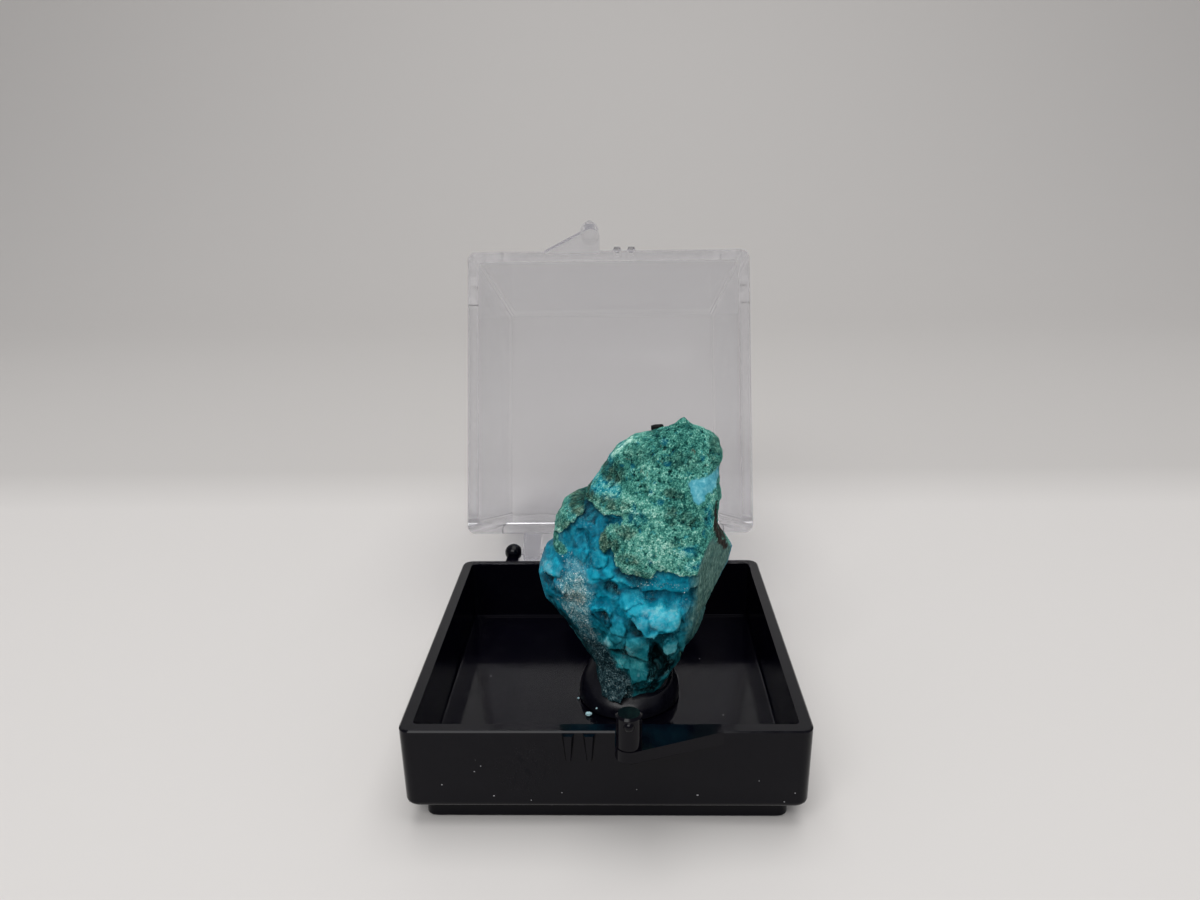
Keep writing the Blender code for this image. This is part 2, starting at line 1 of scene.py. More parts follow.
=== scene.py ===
"""Looks of a chrysocolla thumbnail specimen set on putty in a small hinged display box.

Lengths in the constants and in the shape functions are millimetres, and metres in the meshes.
X runs across the box, -Y is its front, +Z is up, and the tray's foot stands on z = 0. Heights
on the stone are measured from the tray's floor.
"""
import math
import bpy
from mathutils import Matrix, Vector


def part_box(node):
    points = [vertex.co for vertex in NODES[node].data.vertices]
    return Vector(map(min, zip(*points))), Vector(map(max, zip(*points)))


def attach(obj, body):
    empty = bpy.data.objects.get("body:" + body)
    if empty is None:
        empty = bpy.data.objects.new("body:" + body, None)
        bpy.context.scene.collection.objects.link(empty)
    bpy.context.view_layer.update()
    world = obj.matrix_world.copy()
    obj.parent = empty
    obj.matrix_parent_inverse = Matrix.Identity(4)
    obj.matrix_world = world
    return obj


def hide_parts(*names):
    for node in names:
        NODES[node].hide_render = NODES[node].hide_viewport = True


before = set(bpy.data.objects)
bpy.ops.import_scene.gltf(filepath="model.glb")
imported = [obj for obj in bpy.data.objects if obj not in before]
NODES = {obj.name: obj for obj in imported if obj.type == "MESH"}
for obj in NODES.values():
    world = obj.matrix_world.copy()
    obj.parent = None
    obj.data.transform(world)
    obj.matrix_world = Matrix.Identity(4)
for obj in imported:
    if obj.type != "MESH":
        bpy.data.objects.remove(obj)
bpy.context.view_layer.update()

from types import SimpleNamespace

import bmesh
import bpy
import numpy as np
from mathutils import Matrix, Vector, noise
from mathutils.bvhtree import BVHTree

MM = 0.001
FAR_TURN = 2.4               # radians; things turned by it one after another all lie differently
SCENE = bpy.context.scene

# ---- places read off the frame ----
STONE_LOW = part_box("specimen")[0] / MM
PUTTY_LOW, PUTTY_HIGH = (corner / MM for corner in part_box("putty"))

# ---- moulded pieces ----
MERGE_DISTANCE = 1e-7        # metres
FLAT_ANGLE = math.radians(0.5)
SHARP_ANGLE = math.radians(38.0)
TRAY_EDGE = 0.07             # how far the tray's edges are eased
RUBBED_PLACE = (-6.0, -15.9, 5.4)
RUBBED_REACH = 3.4

# ---- camera ----
CAMERA_PLACE = (1.533, -75.754, 49.46)
CAMERA_PITCH = 17.054        # degrees below level
CAMERA_YAW = -1.509          # degrees to the right
CAMERA_ROLL = -0.855
SENSOR_WIDTH = 36.0
LENS = 27.452
CLIP_START = 1.0
CLEAR_BOUNCES = 12           # light runs a long way inside the lid's walls

# ---- stone: the rule of its solid, at a finer step ----
STONE_BOTTOM = 1.0
FLOOR_Z = STONE_LOW.z - STONE_BOTTOM
STONE_TOP = 26.6
STONE_LEVELS = 236
FRONT_COLUMNS = 276
BACK_COLUMNS = 130
LEFT_SIDE = ((1.0, -0.7), (2.1, -0.75), (3.8, -1.0), (5.4, -2.0), (7.0, -3.3), (8.5, -4.5),
             (9.7, -5.6), (10.6, -5.85), (12.2, -6.05), (12.8, -5.9), (13.7, -5.6), (14.3, -5.5),
             (14.8, -4.8), (16.0, -4.65), (17.1, -4.4), (18.2, -4.0), (18.7, -3.05),
             (19.1, -1.95), (20.1, -1.35), (21.2, -0.75), (22.2, 0.1), (23.5, 1.0), (24.4, 2.1),
             (25.0, 4.1), (25.3, 5.05), (25.8, 5.95), (26.2, 6.4), (26.6, 6.7))
RIGHT_SIDE = ((1.0, 3.7), (2.0, 4.8), (3.2, 5.65), (4.3, 6.6), (5.6, 6.4), (6.6, 7.35),
              (8.3, 8.4), (9.8, 8.6), (11.3, 9.85), (12.7, 11.1), (14.0, 11.5), (14.7, 11.15),
              (15.4, 10.5), (16.3, 9.8), (17.4, 9.65), (18.9, 9.8), (19.9, 10.0), (20.8, 9.7),
              (22.3, 9.5), (23.3, 10.0), (24.1, 9.85), (24.8, 9.3), (25.5, 8.15), (25.9, 7.3),
              (26.2, 6.95), (26.6, 6.8))
SIDE_DEPTH = ((1.0, -2.0), (3.9, -1.8), (7.9, -0.8), (12.9, 0.0), (18.9, 0.4), (26.6, 0.5))
BACK_DEPTH = ((1.0, 0.3), (2.9, 1.2), (5.9, 2.6), (9.9, 4.4), (13.9, 5.6), (17.9, 5.6),
              (21.9, 4.4), (24.9, 2.6), (26.2, 1.2), (26.6, 0.7))
FRONT_POINTS = ((6.8, 26.4, 0.0), (3.6, 25.0, 0.1), (9.5, 24.7, -0.4), (0.9, 23.1, 0.1),
                (3.5, 22.9, -1.6), (6.5, 22.9, -2.3), (9.3, 22.9, -1.9), (-1.8, 20.1, -0.2),
                (1.0, 19.9, -2.5), (4.5, 19.9, -3.7), (8.0, 19.9, -3.9), (9.6, 19.9, -3.4),
                (-4.4, 17.2, -0.8), (-2.5, 17.4, -2.2), (1.0, 17.4, -4.0), (5.0, 17.4, -5.0),
                (8.8, 17.4, -4.9), (-4.8, 14.9, -1.0), (-3.0, 14.9, -2.5), (0.5, 14.9, -4.4),
                (4.0, 14.9, -5.7), (8.4, 14.7, -5.7), (-5.8, 12.3, -1.0), (-3.5, 12.4, -3.0),
                (0.0, 12.4, -4.6), (4.0, 12.4, -5.5), (8.0, 12.4, -5.4), (-4.8, 9.5, -1.4),
                (-2.5, 9.4, -3.2), (1.0, 9.4, -4.7), (4.5, 9.4, -5.4), (7.6, 9.4, -4.9),
                (-2.8, 6.5, -1.8), (0.0, 6.4, -3.7), (3.0, 6.4, -4.8), (6.5, 6.4, -4.4),
                (-0.9, 3.5, -2.8), (1.0, 3.4, -4.1), (3.3, 3.4, -4.6), (5.3, 3.4, -3.9),
                (-0.4, 1.0, -3.3), (0.9, 1.0, -4.3), (2.6, 1.0, -4.1), (3.7, 1.0, -3.5))
FRONT_SQUARENESS = 8.0
SIDE_ROUNDNESS = 0.25
BACK_ROUNDNESS = 0.7
FACES = (
    ((8.6, -4.8, 15.9), (0.875, -0.455, -0.16)),  # long smooth flank on the right
    ((4.5, 4.6, 15.9), (0.25, 0.95, 0.18)),       # back, right
    ((-1.5, 4.2, 13.9), (-0.55, 0.83, 0.05)),     # back, left
    ((2.5, 3.6, 6.4), (0.10, 0.88, -0.46)),       # back, running down to the foot
    ((5.0, 2.4, 23.9), (0.05, 0.62, 0.78)))       # behind the crest
FACE_PULL = 0.93
CREST_X = 6.65               # the crest comes to a sharper point here
CREST_REACH = 1.1
CREST_RISE = 0.34
LUMP_SIZE = 2.6
LUMP_HEIGHT = 0.30
LUMP_SHIFT = (3.1, 7.7, 1.3)
GRAIN_SIZE = 0.9
GRAIN_HEIGHT = 0.12
# How far drawn edges are shaken, and over what size.
SHAKE_WIDE, SHAKE_WIDE_SIZE = 0.17, 0.9
SHAKE_FINE, SHAKE_FINE_SIZE = 0.09, 0.3
CRUST_SHAKE, CRUST_SHAKE_SIZES = 0.14, (0.8, 0.26)

# ---- relief that the solid leaves out ----
CRUST_RELIEF = 0.065         # height of the crust's threads and grains
CRUST_SWELL = 0.09           # height of its wider swellings
FLECK_SINK = 0.08
CRYSTAL_RELIEF = 0.10
STRAND_RELIEF = 0.06
FLANK_RELIEF = 0.03
FINEST_RELIEF = 0.015
LARGE_SCOOPS = (2.0, 0.20, 0.36)   # chips of the blue: size, depth and lean
SMALL_SCOOPS = (0.8, 0.06, 0.13)
WAXY_HEIGHT = 12.0           # above this the blue's left part is smooth
DEEP_HEIGHT = 10.8           # below this the stone is darker, over the next length: partly its murkier colour, partly painted shade
DEEP_FADE = 5.5
DRUSE_FADE = 0.5
SKY_FADE = 0.12
LOW_LEFT_SHADE_FADE = 0.5
STRIP_FADE = 0.12
RIDGE_FADE = 0.16

# ---- putty ----
PUTTY_HEIGHT = 3.5
PUTTY_ROUNDNESS = 2.6
PUTTY_SLOPE = 0.10
PUTTY_TURNS = 160
PUTTY_STEPS = 60
DISH_RADIUS = 4.05           # a shallow dish pressed in around the stone's right
DISH_EDGE = 0.45
DISH_DEPTH = 0.5
DISH_HEIGHT = 1.2
DISH_BEARINGS = (-75.0, 40.0)
DISH_TURN = 30.0
DENT_DEPTH = 0.08
DENT_SIZE = 2.2

# ---- growths on the stone ----
# Outline of the green crust on the front, as (x, height) corners. It stands proud of the blue.
CRUST_OUTLINE = ((-7.0, 15.6), (-4.58, 16.25), (-4.05, 16.45), (-3.5, 16.85), (-3.05, 17.45),
                 (-2.5, 17.95), (-2.05, 18.35), (-1.9, 19.0), (-1.55, 19.3), (-1.1, 19.3),
                 (-0.8, 18.95), (-0.45, 18.65), (0.2, 18.65), (0.9, 18.8), (1.4, 18.7),
                 (1.6, 18.4), (1.25, 18.05), (0.55, 17.9), (0.05, 17.75), (-0.4, 17.25),
                 (-0.65, 16.6), (-0.5, 16.0), (-0.15, 15.6), (0.2, 15.85), (0.45, 16.2),
                 (0.7, 15.8), (0.85, 14.8), (1.45, 14.4), (2.2, 14.25), (2.9, 14.1), (3.4, 13.95),
                 (3.9, 14.3), (4.4, 14.9), (5.2, 14.7), (5.95, 14.5), (7.0, 14.5), (7.5, 14.4),
                 (13.0, 14.2), (13.0, 30.0), (-9.0, 30.0))
CRUST_THICKNESS = 0.6
CRUST_STEP = 0.2
LEDGE_LINE = ((0.6, 13.8), (1.4, 13.4), (2.3, 12.9), (3.3, 12.6), (3.8, 12.7), (4.9, 12.9),
              (5.9, 12.7), (6.6, 12.8), (7.4, 13.2))
LEDGE_HOLLOW = 0.9
LEDGE_STEP = 0.25
LEDGE_FADE = 1.5

# Broken blocks: outline as (x, height) corners, how proud, and how much prouder per millimetre
# to the right and upwards.
BLOCKS = (
    (((1.7, 10.6), (1.95, 11.0), (3.3, 11.3), (4.85, 11.4), (6.3, 10.8), (6.4, 10.1),
      (5.75, 9.2), (4.3, 9.1), (4.1, 8.75), (3.15, 8.9), (2.5, 9.8)), 1.05, 0.10, -0.25),
    (((-1.4, 10.5), (-0.9, 10.9), (-0.2, 11.0), (0.4, 10.5), (0.5, 9.7), (0.1, 8.9),
      (-0.5, 9.2), (-1.2, 9.9)), 0.65, 0.20, 0.15),
    (((0.4, 9.7), (0.8, 10.0), (1.5, 9.8), (1.7, 9.0), (1.4, 8.3), (0.4, 8.4)),
     0.55, -0.10, -0.15),
    (((1.4, 12.3), (3.2, 12.4), (3.4, 11.3), (2.2, 11.2), (1.6, 10.9)), 0.45, 0.10, -0.15),
    (((1.8, 8.3), (3.6, 8.9), (3.7, 7.1), (3.5, 5.9), (1.9, 6.2)), 0.45, 0.10, -0.10),
    (((4.85, 8.0), (5.5, 8.5), (6.1, 7.7), (6.0, 6.9), (5.3, 6.5), (4.95, 6.9)),
     0.75, -0.10, -0.10),
    (((1.9, 5.0), (3.5, 5.6), (4.4, 4.5), (3.7, 3.1), (2.8, 2.5), (2.0, 3.1)),
     0.45, -0.10, -0.10),
    (((-0.2, 8.3), (0.8, 8.5), (1.7, 7.7), (1.5, 6.8), (0.2, 6.5)), 0.40, 0.15, -0.15),
    (((0.7, 5.5), (2.6, 5.8), (3.3, 5.3), (2.4, 4.7), (1.0, 4.8)), 0.30, 0.05, -0.20),
    (((-5.9, 13.7), (-4.9, 14.2), (-3.9, 13.7), (-4.1, 12.8), (-5.3, 12.6)), 0.45, 0.15, -0.10),
    (((-5.4, 12.1), (-4.4, 12.4), (-3.6, 11.7), (-4.0, 10.7), (-5.1, 10.8)), 0.55, 0.10, -0.10),
    (((-1.3, 16.5), (-0.5, 16.8), (0.1, 15.3), (-0.2, 14.2), (-1.0, 14.4)), 0.40, 0.10, 0.05),
    (((-0.9, 14.1), (0.5, 14.4), (0.6, 13.8), (-0.2, 13.4), (-1.1, 13.4)), 0.35, 0.15, -0.20),
    (((6.5, 12.5), (7.3, 12.7), (7.1, 10.8), (6.6, 9.5), (6.3, 10.5)), 0.30, -0.20, 0.0),
    (((-2.9, 16.3), (-1.9, 16.8), (-1.5, 15.5), (-1.9, 14.3), (-2.9, 14.8)), 0.25, 0.20, 0.05),
    (((5.0, 6.4), (6.1, 6.7), (6.3, 5.6), (5.6, 4.8), (5.0, 5.3)), 0.30, 0.10, -0.10),
    (((-0.7, 3.6), (0.2, 4.1), (1.4, 3.8), (1.7, 2.6), (1.2, 1.6), (-0.5, 1.7)),
     0.60, -0.10, -0.30))
BLOCK_WALL = 0.16            # width over which a block's edge falls away
# Hollows: x, height, half width, half height, depth.
HOLLOWS = ((0.4, 12.6, 0.85, 0.75, 0.55), (4.3, 5.9, 0.65, 1.9, 0.85),
           (-5.1, 12.4, 0.45, 0.4, 0.35), (-2.0, 16.5, 0.8, 0.9, 0.45),
           (2.4, 10.2, 0.5, 0.7, 0.4), (0.9, 22.2, 0.7, 0.7, 0.35), (3.2, 20.9, 0.6, 0.6, 0.35),
           (6.6, 24.2, 0.8, 0.8, 0.3), (7.6, 18.5, 0.7, 0.7, 0.3), (1.6, 18.7, 0.9, 0.5, 0.35),
           (-2.6, 10.5, 0.9, 0.9, 0.35), (0.6, 18.2, 0.9, 0.4, 0.45))

# Where the other growths are. An outline has (x, height) corners, a line has (x, height, half
# width) at its bends, and a spot is (x, height, half width, half height, strength).
DRUSE_OUTLINE = ((-4.1, 12.5), (-3.4, 13.3), (-2.4, 13.6), (-1.7, 13.1), (-1.2, 11.9),
                 (-1.25, 10.9), (-1.6, 9.7), (-1.4, 8.2), (-0.7, 7.1), (0.0, 6.6), (0.4, 6.0),
                 (0.7, 4.9), (1.8, 4.2), (2.3, 2.3), (2.2, 0.8), (-1.6, 0.8), (-1.5, 4.4),
                 (-2.0, 6.0), (-2.9, 7.9), (-3.6, 9.3), (-4.3, 10.3), (-3.9, 11.2), (-4.3, 12.0))
TAN = ((-2.7, 11.2, 1.0, 0.9, 0.9), (-2.3, 12.2, 0.5, 0.6, 0.4), (-3.3, 11.6, 0.6, 0.6, 0.6),
       (-2.4, 9.6, 0.8, 0.8, 0.4), (-0.3, 1.9, 0.5, 0.4, 0.8))
FROST = ((-5.2, 13.0, 0.6, 0.7, 0.6), (-2.7, 14.0, 1.1, 0.8, 0.9), (-3.05, 14.95, 0.3, 0.25, 0.9),
         (2.6, 13.0, 0.5, 0.25, 0.6), (3.4, 13.3, 0.5, 0.25, 0.9), (4.5, 13.35, 0.6, 0.25, 0.9),
         (5.7, 13.25, 0.6, 0.25, 0.9), (6.7, 13.0, 0.5, 0.25, 0.7), (3.95, 14.0, 0.4, 0.2, 0.5),
         (2.0, 6.8, 0.7, 0.6, 0.3), (1.0, 5.2, 0.6, 0.4, 0.4))
# Whitish veils inside the waxy blue.
VEILS = ((3.8, 10.75, 0.9, 0.4, 1.0), (5.4, 10.8, 0.8, 0.4, 0.8), (4.3, 10.0, 0.7, 0.45, 0.8),
         (2.8, 10.0, 0.6, 0.45, 0.5), (5.6, 9.9, 0.5, 0.3, 0.5), (-2.6, 13.9, 0.9, 0.6, 0.9),
         (-3.7, 13.2, 0.6, 0.5, 0.8), (-2.0, 13.2, 0.5, 0.6, 0.8), (-5.1, 13.1, 0.4, 0.6, 0.7),
         (-0.1, 6.9, 0.25, 0.4, 1.0), (2.65, 4.4, 0.14, 0.14, 1.0), (5.4, 6.9, 0.6, 0.5, 0.4),
         (1.9, 6.7, 0.5, 0.5, 0.4), (-1.2, 12.6, 0.4, 0.5, 0.5))
STRIP_LINE = ((9.3, 20.0, 0.06), (9.25, 19.1, 0.14), (9.2, 18.4, 0.16), (9.2, 17.7, 0.2),
              (9.7, 16.4, 0.25), (10.6, 14.7, 0.2))
SKY_OUTLINE = ((6.95, 21.6), (7.3, 21.9), (8.0, 22.0), (8.75, 22.1), (9.2, 22.3), (9.5, 22.7),
               (9.6, 21.6), (9.3, 21.0), (9.0, 20.9), (8.5, 20.9), (8.25, 20.65), (8.35, 20.25),
               (7.85, 20.1), (7.45, 20.3), (7.25, 20.8), (7.15, 21.25))
# Broken faces of the blue: outline, tone (0 black to 1 pale), and how much paler each becomes
# per millimetre to the right and upwards; the tones hold painted light and shade as well as the
# blue's own colour. Later ones lie over earlier ones.
FACETS = (
    (((-3.7, 17.0), (-2.0, 17.9), (-0.7, 17.7), (-0.5, 16.0), (-0.5, 15.9), (-3.6, 15.2)),
     0.38, 0.0, 0.0),
    (((-2.1, 18.9), (-1.5, 19.5), (-1.0, 19.4), (-0.6, 18.7), (-0.9, 17.6), (-1.8, 17.8)),
     0.22, 0.0, 0.0),
    (((-0.6, 18.8), (0.9, 18.9), (1.7, 18.7), (1.2, 17.9), (-0.4, 17.6)), 0.36, 0.0, 0.0),
    (((-3.6, 15.2), (-0.4, 15.9), (-0.3, 14.5), (-0.8, 13.7), (-1.3, 13.0), (-1.8, 13.3),
      (-2.2, 14.6), (-3.2, 14.5)), 0.46, 0.0, 0.0),
    (((-1.7, 13.8), (-0.8, 14.2), (-0.4, 13.8), (-0.6, 13.2), (-1.1, 12.8), (-1.7, 12.9)),
     0.62, 0.0, 0.0),
    (((-5.9, 12.5), (-5.5, 13.4), (-4.5, 14.1), (-3.6, 13.5), (-3.7, 12.9), (-4.7, 12.7),
      (-5.4, 12.5), (-5.9, 12.2)), 0.62, -0.12, 0.06),
    (((-5.6, 10.7), (-4.8, 11.8), (-4.6, 10.9), (-4.0, 10.7), (-4.9, 9.6), (-5.5, 9.8)),
     0.42, -0.1, 0.0),
    (((-5.7, 12.1), (-5.0, 12.6), (-4.6, 12.5), (-4.7, 12.1), (-5.1, 11.6), (-5.6, 11.5)),
     0.2, 0.0, 0.0),
    (((-4.5, 11.8), (-3.8, 12.0), (-3.6, 11.6), (-4.1, 11.1), (-4.7, 10.9), (-4.8, 11.3)),
     0.26, 0.0, 0.0),
    (((-0.3, 15.5), (0.5, 15.4), (0.8, 14.4), (0.5, 13.8), (0.0, 13.8), (-0.3, 14.5)),
     0.62, -0.1, 0.06),
    (((3.5, 13.7), (4.9, 14.7), (7.0, 14.6), (6.9, 12.6), (5.4, 12.6), (4.3, 12.8)),
     0.56, 0.0, -0.06),
    (((0.8, 14.4), (1.5, 14.7), (2.7, 14.0), (3.6, 14.0), (3.5, 13.3), (2.9, 12.6), (2.4, 12.9),
      (1.7, 13.5), (1.0, 13.8)), 0.2, 0.0, 0.0),
    (((-0.8, 12.9), (0.3, 13.4), (1.0, 12.8), (1.3, 12.0), (0.6, 12.0), (-0.4, 12.3)),
     0.2, -0.16, -0.2),
    (((-1.3, 11.7), (-0.4, 12.2), (0.6, 11.9), (1.2, 11.9), (1.2, 11.2), (0.6, 10.2),
      (0.1, 10.5), (-0.8, 10.5), (-1.3, 11.0)), 0.52, -0.08, -0.04),
    (((0.5, 13.5), (1.5, 13.6), (2.4, 12.7), (2.8, 12.0), (1.9, 12.5), (1.3, 12.5), (1.0, 13.0)),
     0.6, -0.1, 0.1),
    (((-1.5, 9.7), (-0.8, 10.3), (-0.1, 10.4), (0.4, 10.0), (0.3, 9.2), (0.1, 8.4), (-0.5, 8.1),
      (-1.2, 9.0)), 0.28, -0.16, -0.16),
    (((0.6, 10.2), (1.5, 11.3), (1.6, 10.4), (1.2, 9.7), (0.4, 9.7)), 0.5, 0.0, 0.0),
    (((3.5, 12.0), (4.5, 12.6), (6.4, 12.1), (6.5, 11.4), (5.3, 11.3), (4.3, 11.6), (3.6, 11.6)),
     0.48, 0.0, -0.32),
    (((1.3, 12.1), (2.3, 12.0), (3.4, 11.4), (3.7, 10.9), (2.7, 10.5), (1.7, 10.9), (1.2, 11.4)),
     0.68, 0.06, 0.04),
    (((1.6, 10.6), (2.7, 10.5), (3.5, 10.4), (3.4, 9.6), (2.9, 8.9), (2.2, 9.8), (1.7, 10.0)),
     0.6, 0.06, 0.04),
    (((3.6, 11.2), (4.5, 11.5), (5.3, 11.2), (6.2, 11.3), (6.6, 10.5), (6.2, 9.9), (5.5, 9.4),
      (4.4, 9.5), (3.8, 9.8), (3.5, 10.4)), 0.72, 0.02, 0.10),
    (((3.0, 8.7), (4.4, 9.6), (4.3, 9.0), (3.5, 8.2)), 0.78, 0.0, 0.0),
    (((1.8, 9.9), (2.7, 9.5), (3.2, 8.4), (2.7, 8.2), (2.0, 8.9)), 0.18, 0.0, 0.0),
    (((6.2, 9.9), (6.9, 9.8), (6.9, 7.5), (6.6, 6.6), (6.4, 5.1), (6.3, 8.0)), 0.55, 0.08, 0.0),
    (((3.8, 8.1), (4.8, 9.0), (4.9, 7.3), (4.3, 7.0), (3.8, 7.3)), 0.38, 0.0, 0.0),
    (((1.8, 7.9), (2.7, 8.3), (3.7, 8.0), (3.8, 7.1), (3.6, 5.9), (2.6, 5.9), (1.8, 6.4)),
     0.58, -0.12, 0.04),
    (((4.9, 7.5), (5.8, 7.9), (6.2, 7.6), (5.9, 6.9), (5.4, 6.2), (5.0, 6.8)), 0.72, -0.08, 0.1),
    (((3.5, 6.9), (4.5, 7.3), (5.4, 6.2), (5.9, 5.4), (5.7, 4.0), (4.4, 3.2), (3.4, 2.6),
      (3.3, 3.6), (3.7, 4.8)), 0.0, 0.0, 0.0),
    (((0.2, 8.9), (1.0, 9.6), (1.5, 9.6), (1.7, 8.2), (0.9, 7.3), (0.2, 7.6)), 0.58, 0.0, 0.08),
    (((-0.3, 7.0), (0.0, 7.7), (0.4, 7.0), (0.1, 6.5), (-0.3, 6.5)), 0.95, 0.0, 0.0),
    (((0.4, 6.5), (1.8, 6.7), (1.8, 6.0), (0.9, 5.9)), 0.1, 0.0, 0.0),
    (((0.6, 5.4), (1.8, 5.5), (2.0, 4.7), (1.3, 4.5), (0.7, 4.9)), 0.52, 0.0, 0.1),
    (((2.0, 5.7), (3.3, 5.6), (3.3, 4.8), (2.2, 5.0)), 0.54, 0.0, 0.12),
    (((1.8, 4.9), (3.1, 4.7), (3.3, 4.0), (2.3, 3.6), (1.9, 4.2)), 0.46, 0.0, 0.1),
    (((1.9, 3.4), (3.3, 3.9), (4.4, 3.8), (4.5, 2.7), (3.9, 1.8), (2.5, 2.5), (2.0, 2.7)),
     0.12, 0.0, 0.0))
FACET_EDGE = 0.16
FACET_BLUR = 0.32
FACET_RISE = 0.34            # how much prouder a pale face is than a dark one
FACET_LEAN = 0.11
PLAIN_TONE = 0.42
# Painted shade: a dark band along the lower left edge, with its half width.
LOW_LEFT_SHADE_LINE = ((-5.2, 9.9, 0.2), (-4.4, 8.8, 0.45), (-3.6, 7.6, 0.5), (-2.8, 6.4, 0.6),
             (-2.0, 5.2, 0.7), (-1.4, 3.6, 0.6))
# Colour in the crust.
TURQUOISE = ((0.0, 20.6, 1.2, 0.75, 1.0), (-1.1, 20.7, 0.7, 0.7, 1.0), (7.0, 16.5, 0.9, 0.5, 0.7),
             (2.9, 18.8, 0.6, 0.6, 0.4), (0.2, 22.6, 0.5, 0.8, 0.7), (7.7, 15.3, 1.2, 0.4, 0.6),
             (-3.0, 18.1, 0.5, 0.4, 0.5), (8.6, 19.0, 0.4, 1.0, 0.5), (1.2, 24.0, 0.4, 0.4, 0.5))
# Paler places in the crust: partly its own mint colour, partly painted light where its upper face
# tips up towards the light.
MINT_AND_LIT = ((4.8, 16.2, 2.6, 1.1, 1.0), (4.5, 19.2, 0.9, 0.7, 0.6), (6.3, 18.3, 0.7, 0.6, 0.6),
        (2.9, 16.8, 1.2, 1.0, 0.7), (6.6, 15.6, 1.4, 0.7, 0.7), (1.9, 19.9, 0.6, 0.8, 0.7),
        (0.0, 20.6, 1.2, 0.8, 0.7), (4.2, 22.5, 1.4, 0.5, 0.25), (8.8, 20.4, 0.6, 0.4, 0.8),
        (3.7, 21.2, 1.2, 0.6, 0.3), (-4.2, 17.0, 0.5, 0.5, 0.4))
OLIVE = ((0.6, 21.7, 1.0, 0.75, 1.0), (-1.4, 19.8, 0.8, 0.4, 1.0), (-2.4, 18.7, 0.9, 0.5, 1.0),
         (0.6, 19.6, 1.3, 0.6, 0.8), (-0.2, 16.7, 0.6, 1.1, 1.0), (0.6, 16.5, 0.5, 0.8, 0.9),
         (1.7, 17.7, 0.9, 0.5, 0.8), (5.7, 20.8, 0.8, 0.4, 0.7), (5.5, 19.3, 0.5, 0.9, 0.7),
         (6.8, 18.9, 0.6, 0.7, 0.5), (9.4, 23.9, 0.6, 1.0, 0.5), (2.0, 15.6, 1.0, 0.45, 0.6),
         (3.0, 14.4, 0.7, 0.4, 0.8), (5.8, 17.3, 0.6, 0.3, 0.4), (-3.6, 17.2, 0.8, 0.5, 0.6),
         (6.5, 23.3, 1.4, 0.7, 0.3), (3.0, 23.4, 1.4, 0.6, 0.3))
GREEN_SPOTS = ((-4.1, 15.0, 0.65, 0.55), (-4.5, 15.8, 0.35, 0.5))
PALE_RIDGE = ((0.1, 22.5, 0.05), (0.7, 23.1, 0.08), (1.8, 24.1, 0.09), (2.7, 24.8, 0.05))
# Blue flecks in the crust: x, height, half width, half height.
FLECKS = ((2.4, 22.6, 0.22, 0.2), (1.4, 22.4, 0.14, 0.12), (5.3, 23.0, 0.3, 0.25),
          (5.0, 24.6, 0.25, 0.25), (3.9, 20.9, 0.17, 0.14), (4.6, 20.2, 0.3, 0.25),
          (2.4, 19.5, 0.14, 0.3), (2.1, 18.85, 0.22, 0.42), (2.9, 17.85, 0.12, 0.16),
          (2.9, 19.1, 0.14, 0.2), (3.8, 15.6, 0.2, 0.14), (7.0, 16.6, 0.42, 0.2),
          (7.6, 15.3, 0.3, 0.12), (8.65, 19.1, 0.14, 0.3), (8.2, 17.8, 0.14, 0.2),
          (8.2, 23.5, 0.25, 0.12), (4.2, 21.5, 0.12, 0.12))
# Dark pits in the crust: x, height, radius.
PITS = ((3.35, 20.75, 0.1), (5.5, 22.3, 0.16), (2.45, 21.9, 0.14), (2.6, 19.0, 0.12),
        (8.5, 22.9, 0.16), (5.1, 24.1, 0.15), (4.3, 17.6, 0.1), (3.0, 18.9, 0.1),
        (6.3, 20.4, 0.1), (1.9, 19.5, 0.12))

# ---- small things ----
GRAINS_PER_AREA = 22.0       # crystals on a square millimetre where they grow thickest
GRAIN_SMALLEST = 0.05
GRAIN_LARGEST = 0.14
GRAIN_FORM = {"Vertices": 6, "Radius Top": 0.12, "Radius Bottom": 0.5, "Depth": 1.1}
GRAIN_SINK = 0.35            # of its own size
GRAIN_TURN = (0.7, 0.7, 3.1)  # radians, either way
DUST_THICKNESS = 0.05
DUST_HEIGHT = 5.0            # where the front's place is measured for the dust on it
# The chip and the crumbs: x, y, height over the floor, and sizes across, deep and up.
CHIP = ((4.55, 1.25, 25.1, 1.25, 0.7, 0.75),)
CRUMBS = ((-1.7, -4.5, 0.2, 0.62, 0.45, 0.4), (-1.0, -4.4, 0.7, 0.18, 0.16, 0.16),
          (-2.75, -1.8, 0.1, 0.22, 0.2, 0.2))
# Dust: x, height and size on the front; x, y, height over the floor and size inside.
DUST_ON_FRONT = ((-10.0, 6.3, 0.22), (-9.6, 5.7, 0.14), (-10.1, 5.2, 0.12), (-8.9, 8.0, 0.12),
                 (-8.0, 7.9, 0.10), (-12.7, 4.0, 0.14), (-8.7, 3.0, 0.16), (-5.8, 2.6, 0.10),
                 (7.1, 3.1, 0.16), (14.6, 3.3, 0.12), (13.8, 2.5, 0.12), (9.9, 6.2, 0.10),
                 (-11.3, 6.9, 0.09), (2.4, 3.6, 0.09), (-3.4, 3.3, 0.10), (11.8, 4.4, 0.09))
DUST_INSIDE = ((-9.0, -6.0, 0.02, 0.14), (-6.2, -10.2, 0.02, 0.12), (7.4, -8.1, 0.02, 0.13),
               (10.3, -4.4, 0.02, 0.10), (-11.4, 2.2, 0.02, 0.13), (-7.7, -12.4, 0.02, 0.10),
               (4.8, -10.9, 0.02, 0.10), (-4.9, -6.6, 0.02, 0.09), (9.0, 5.4, 0.02, 0.12))

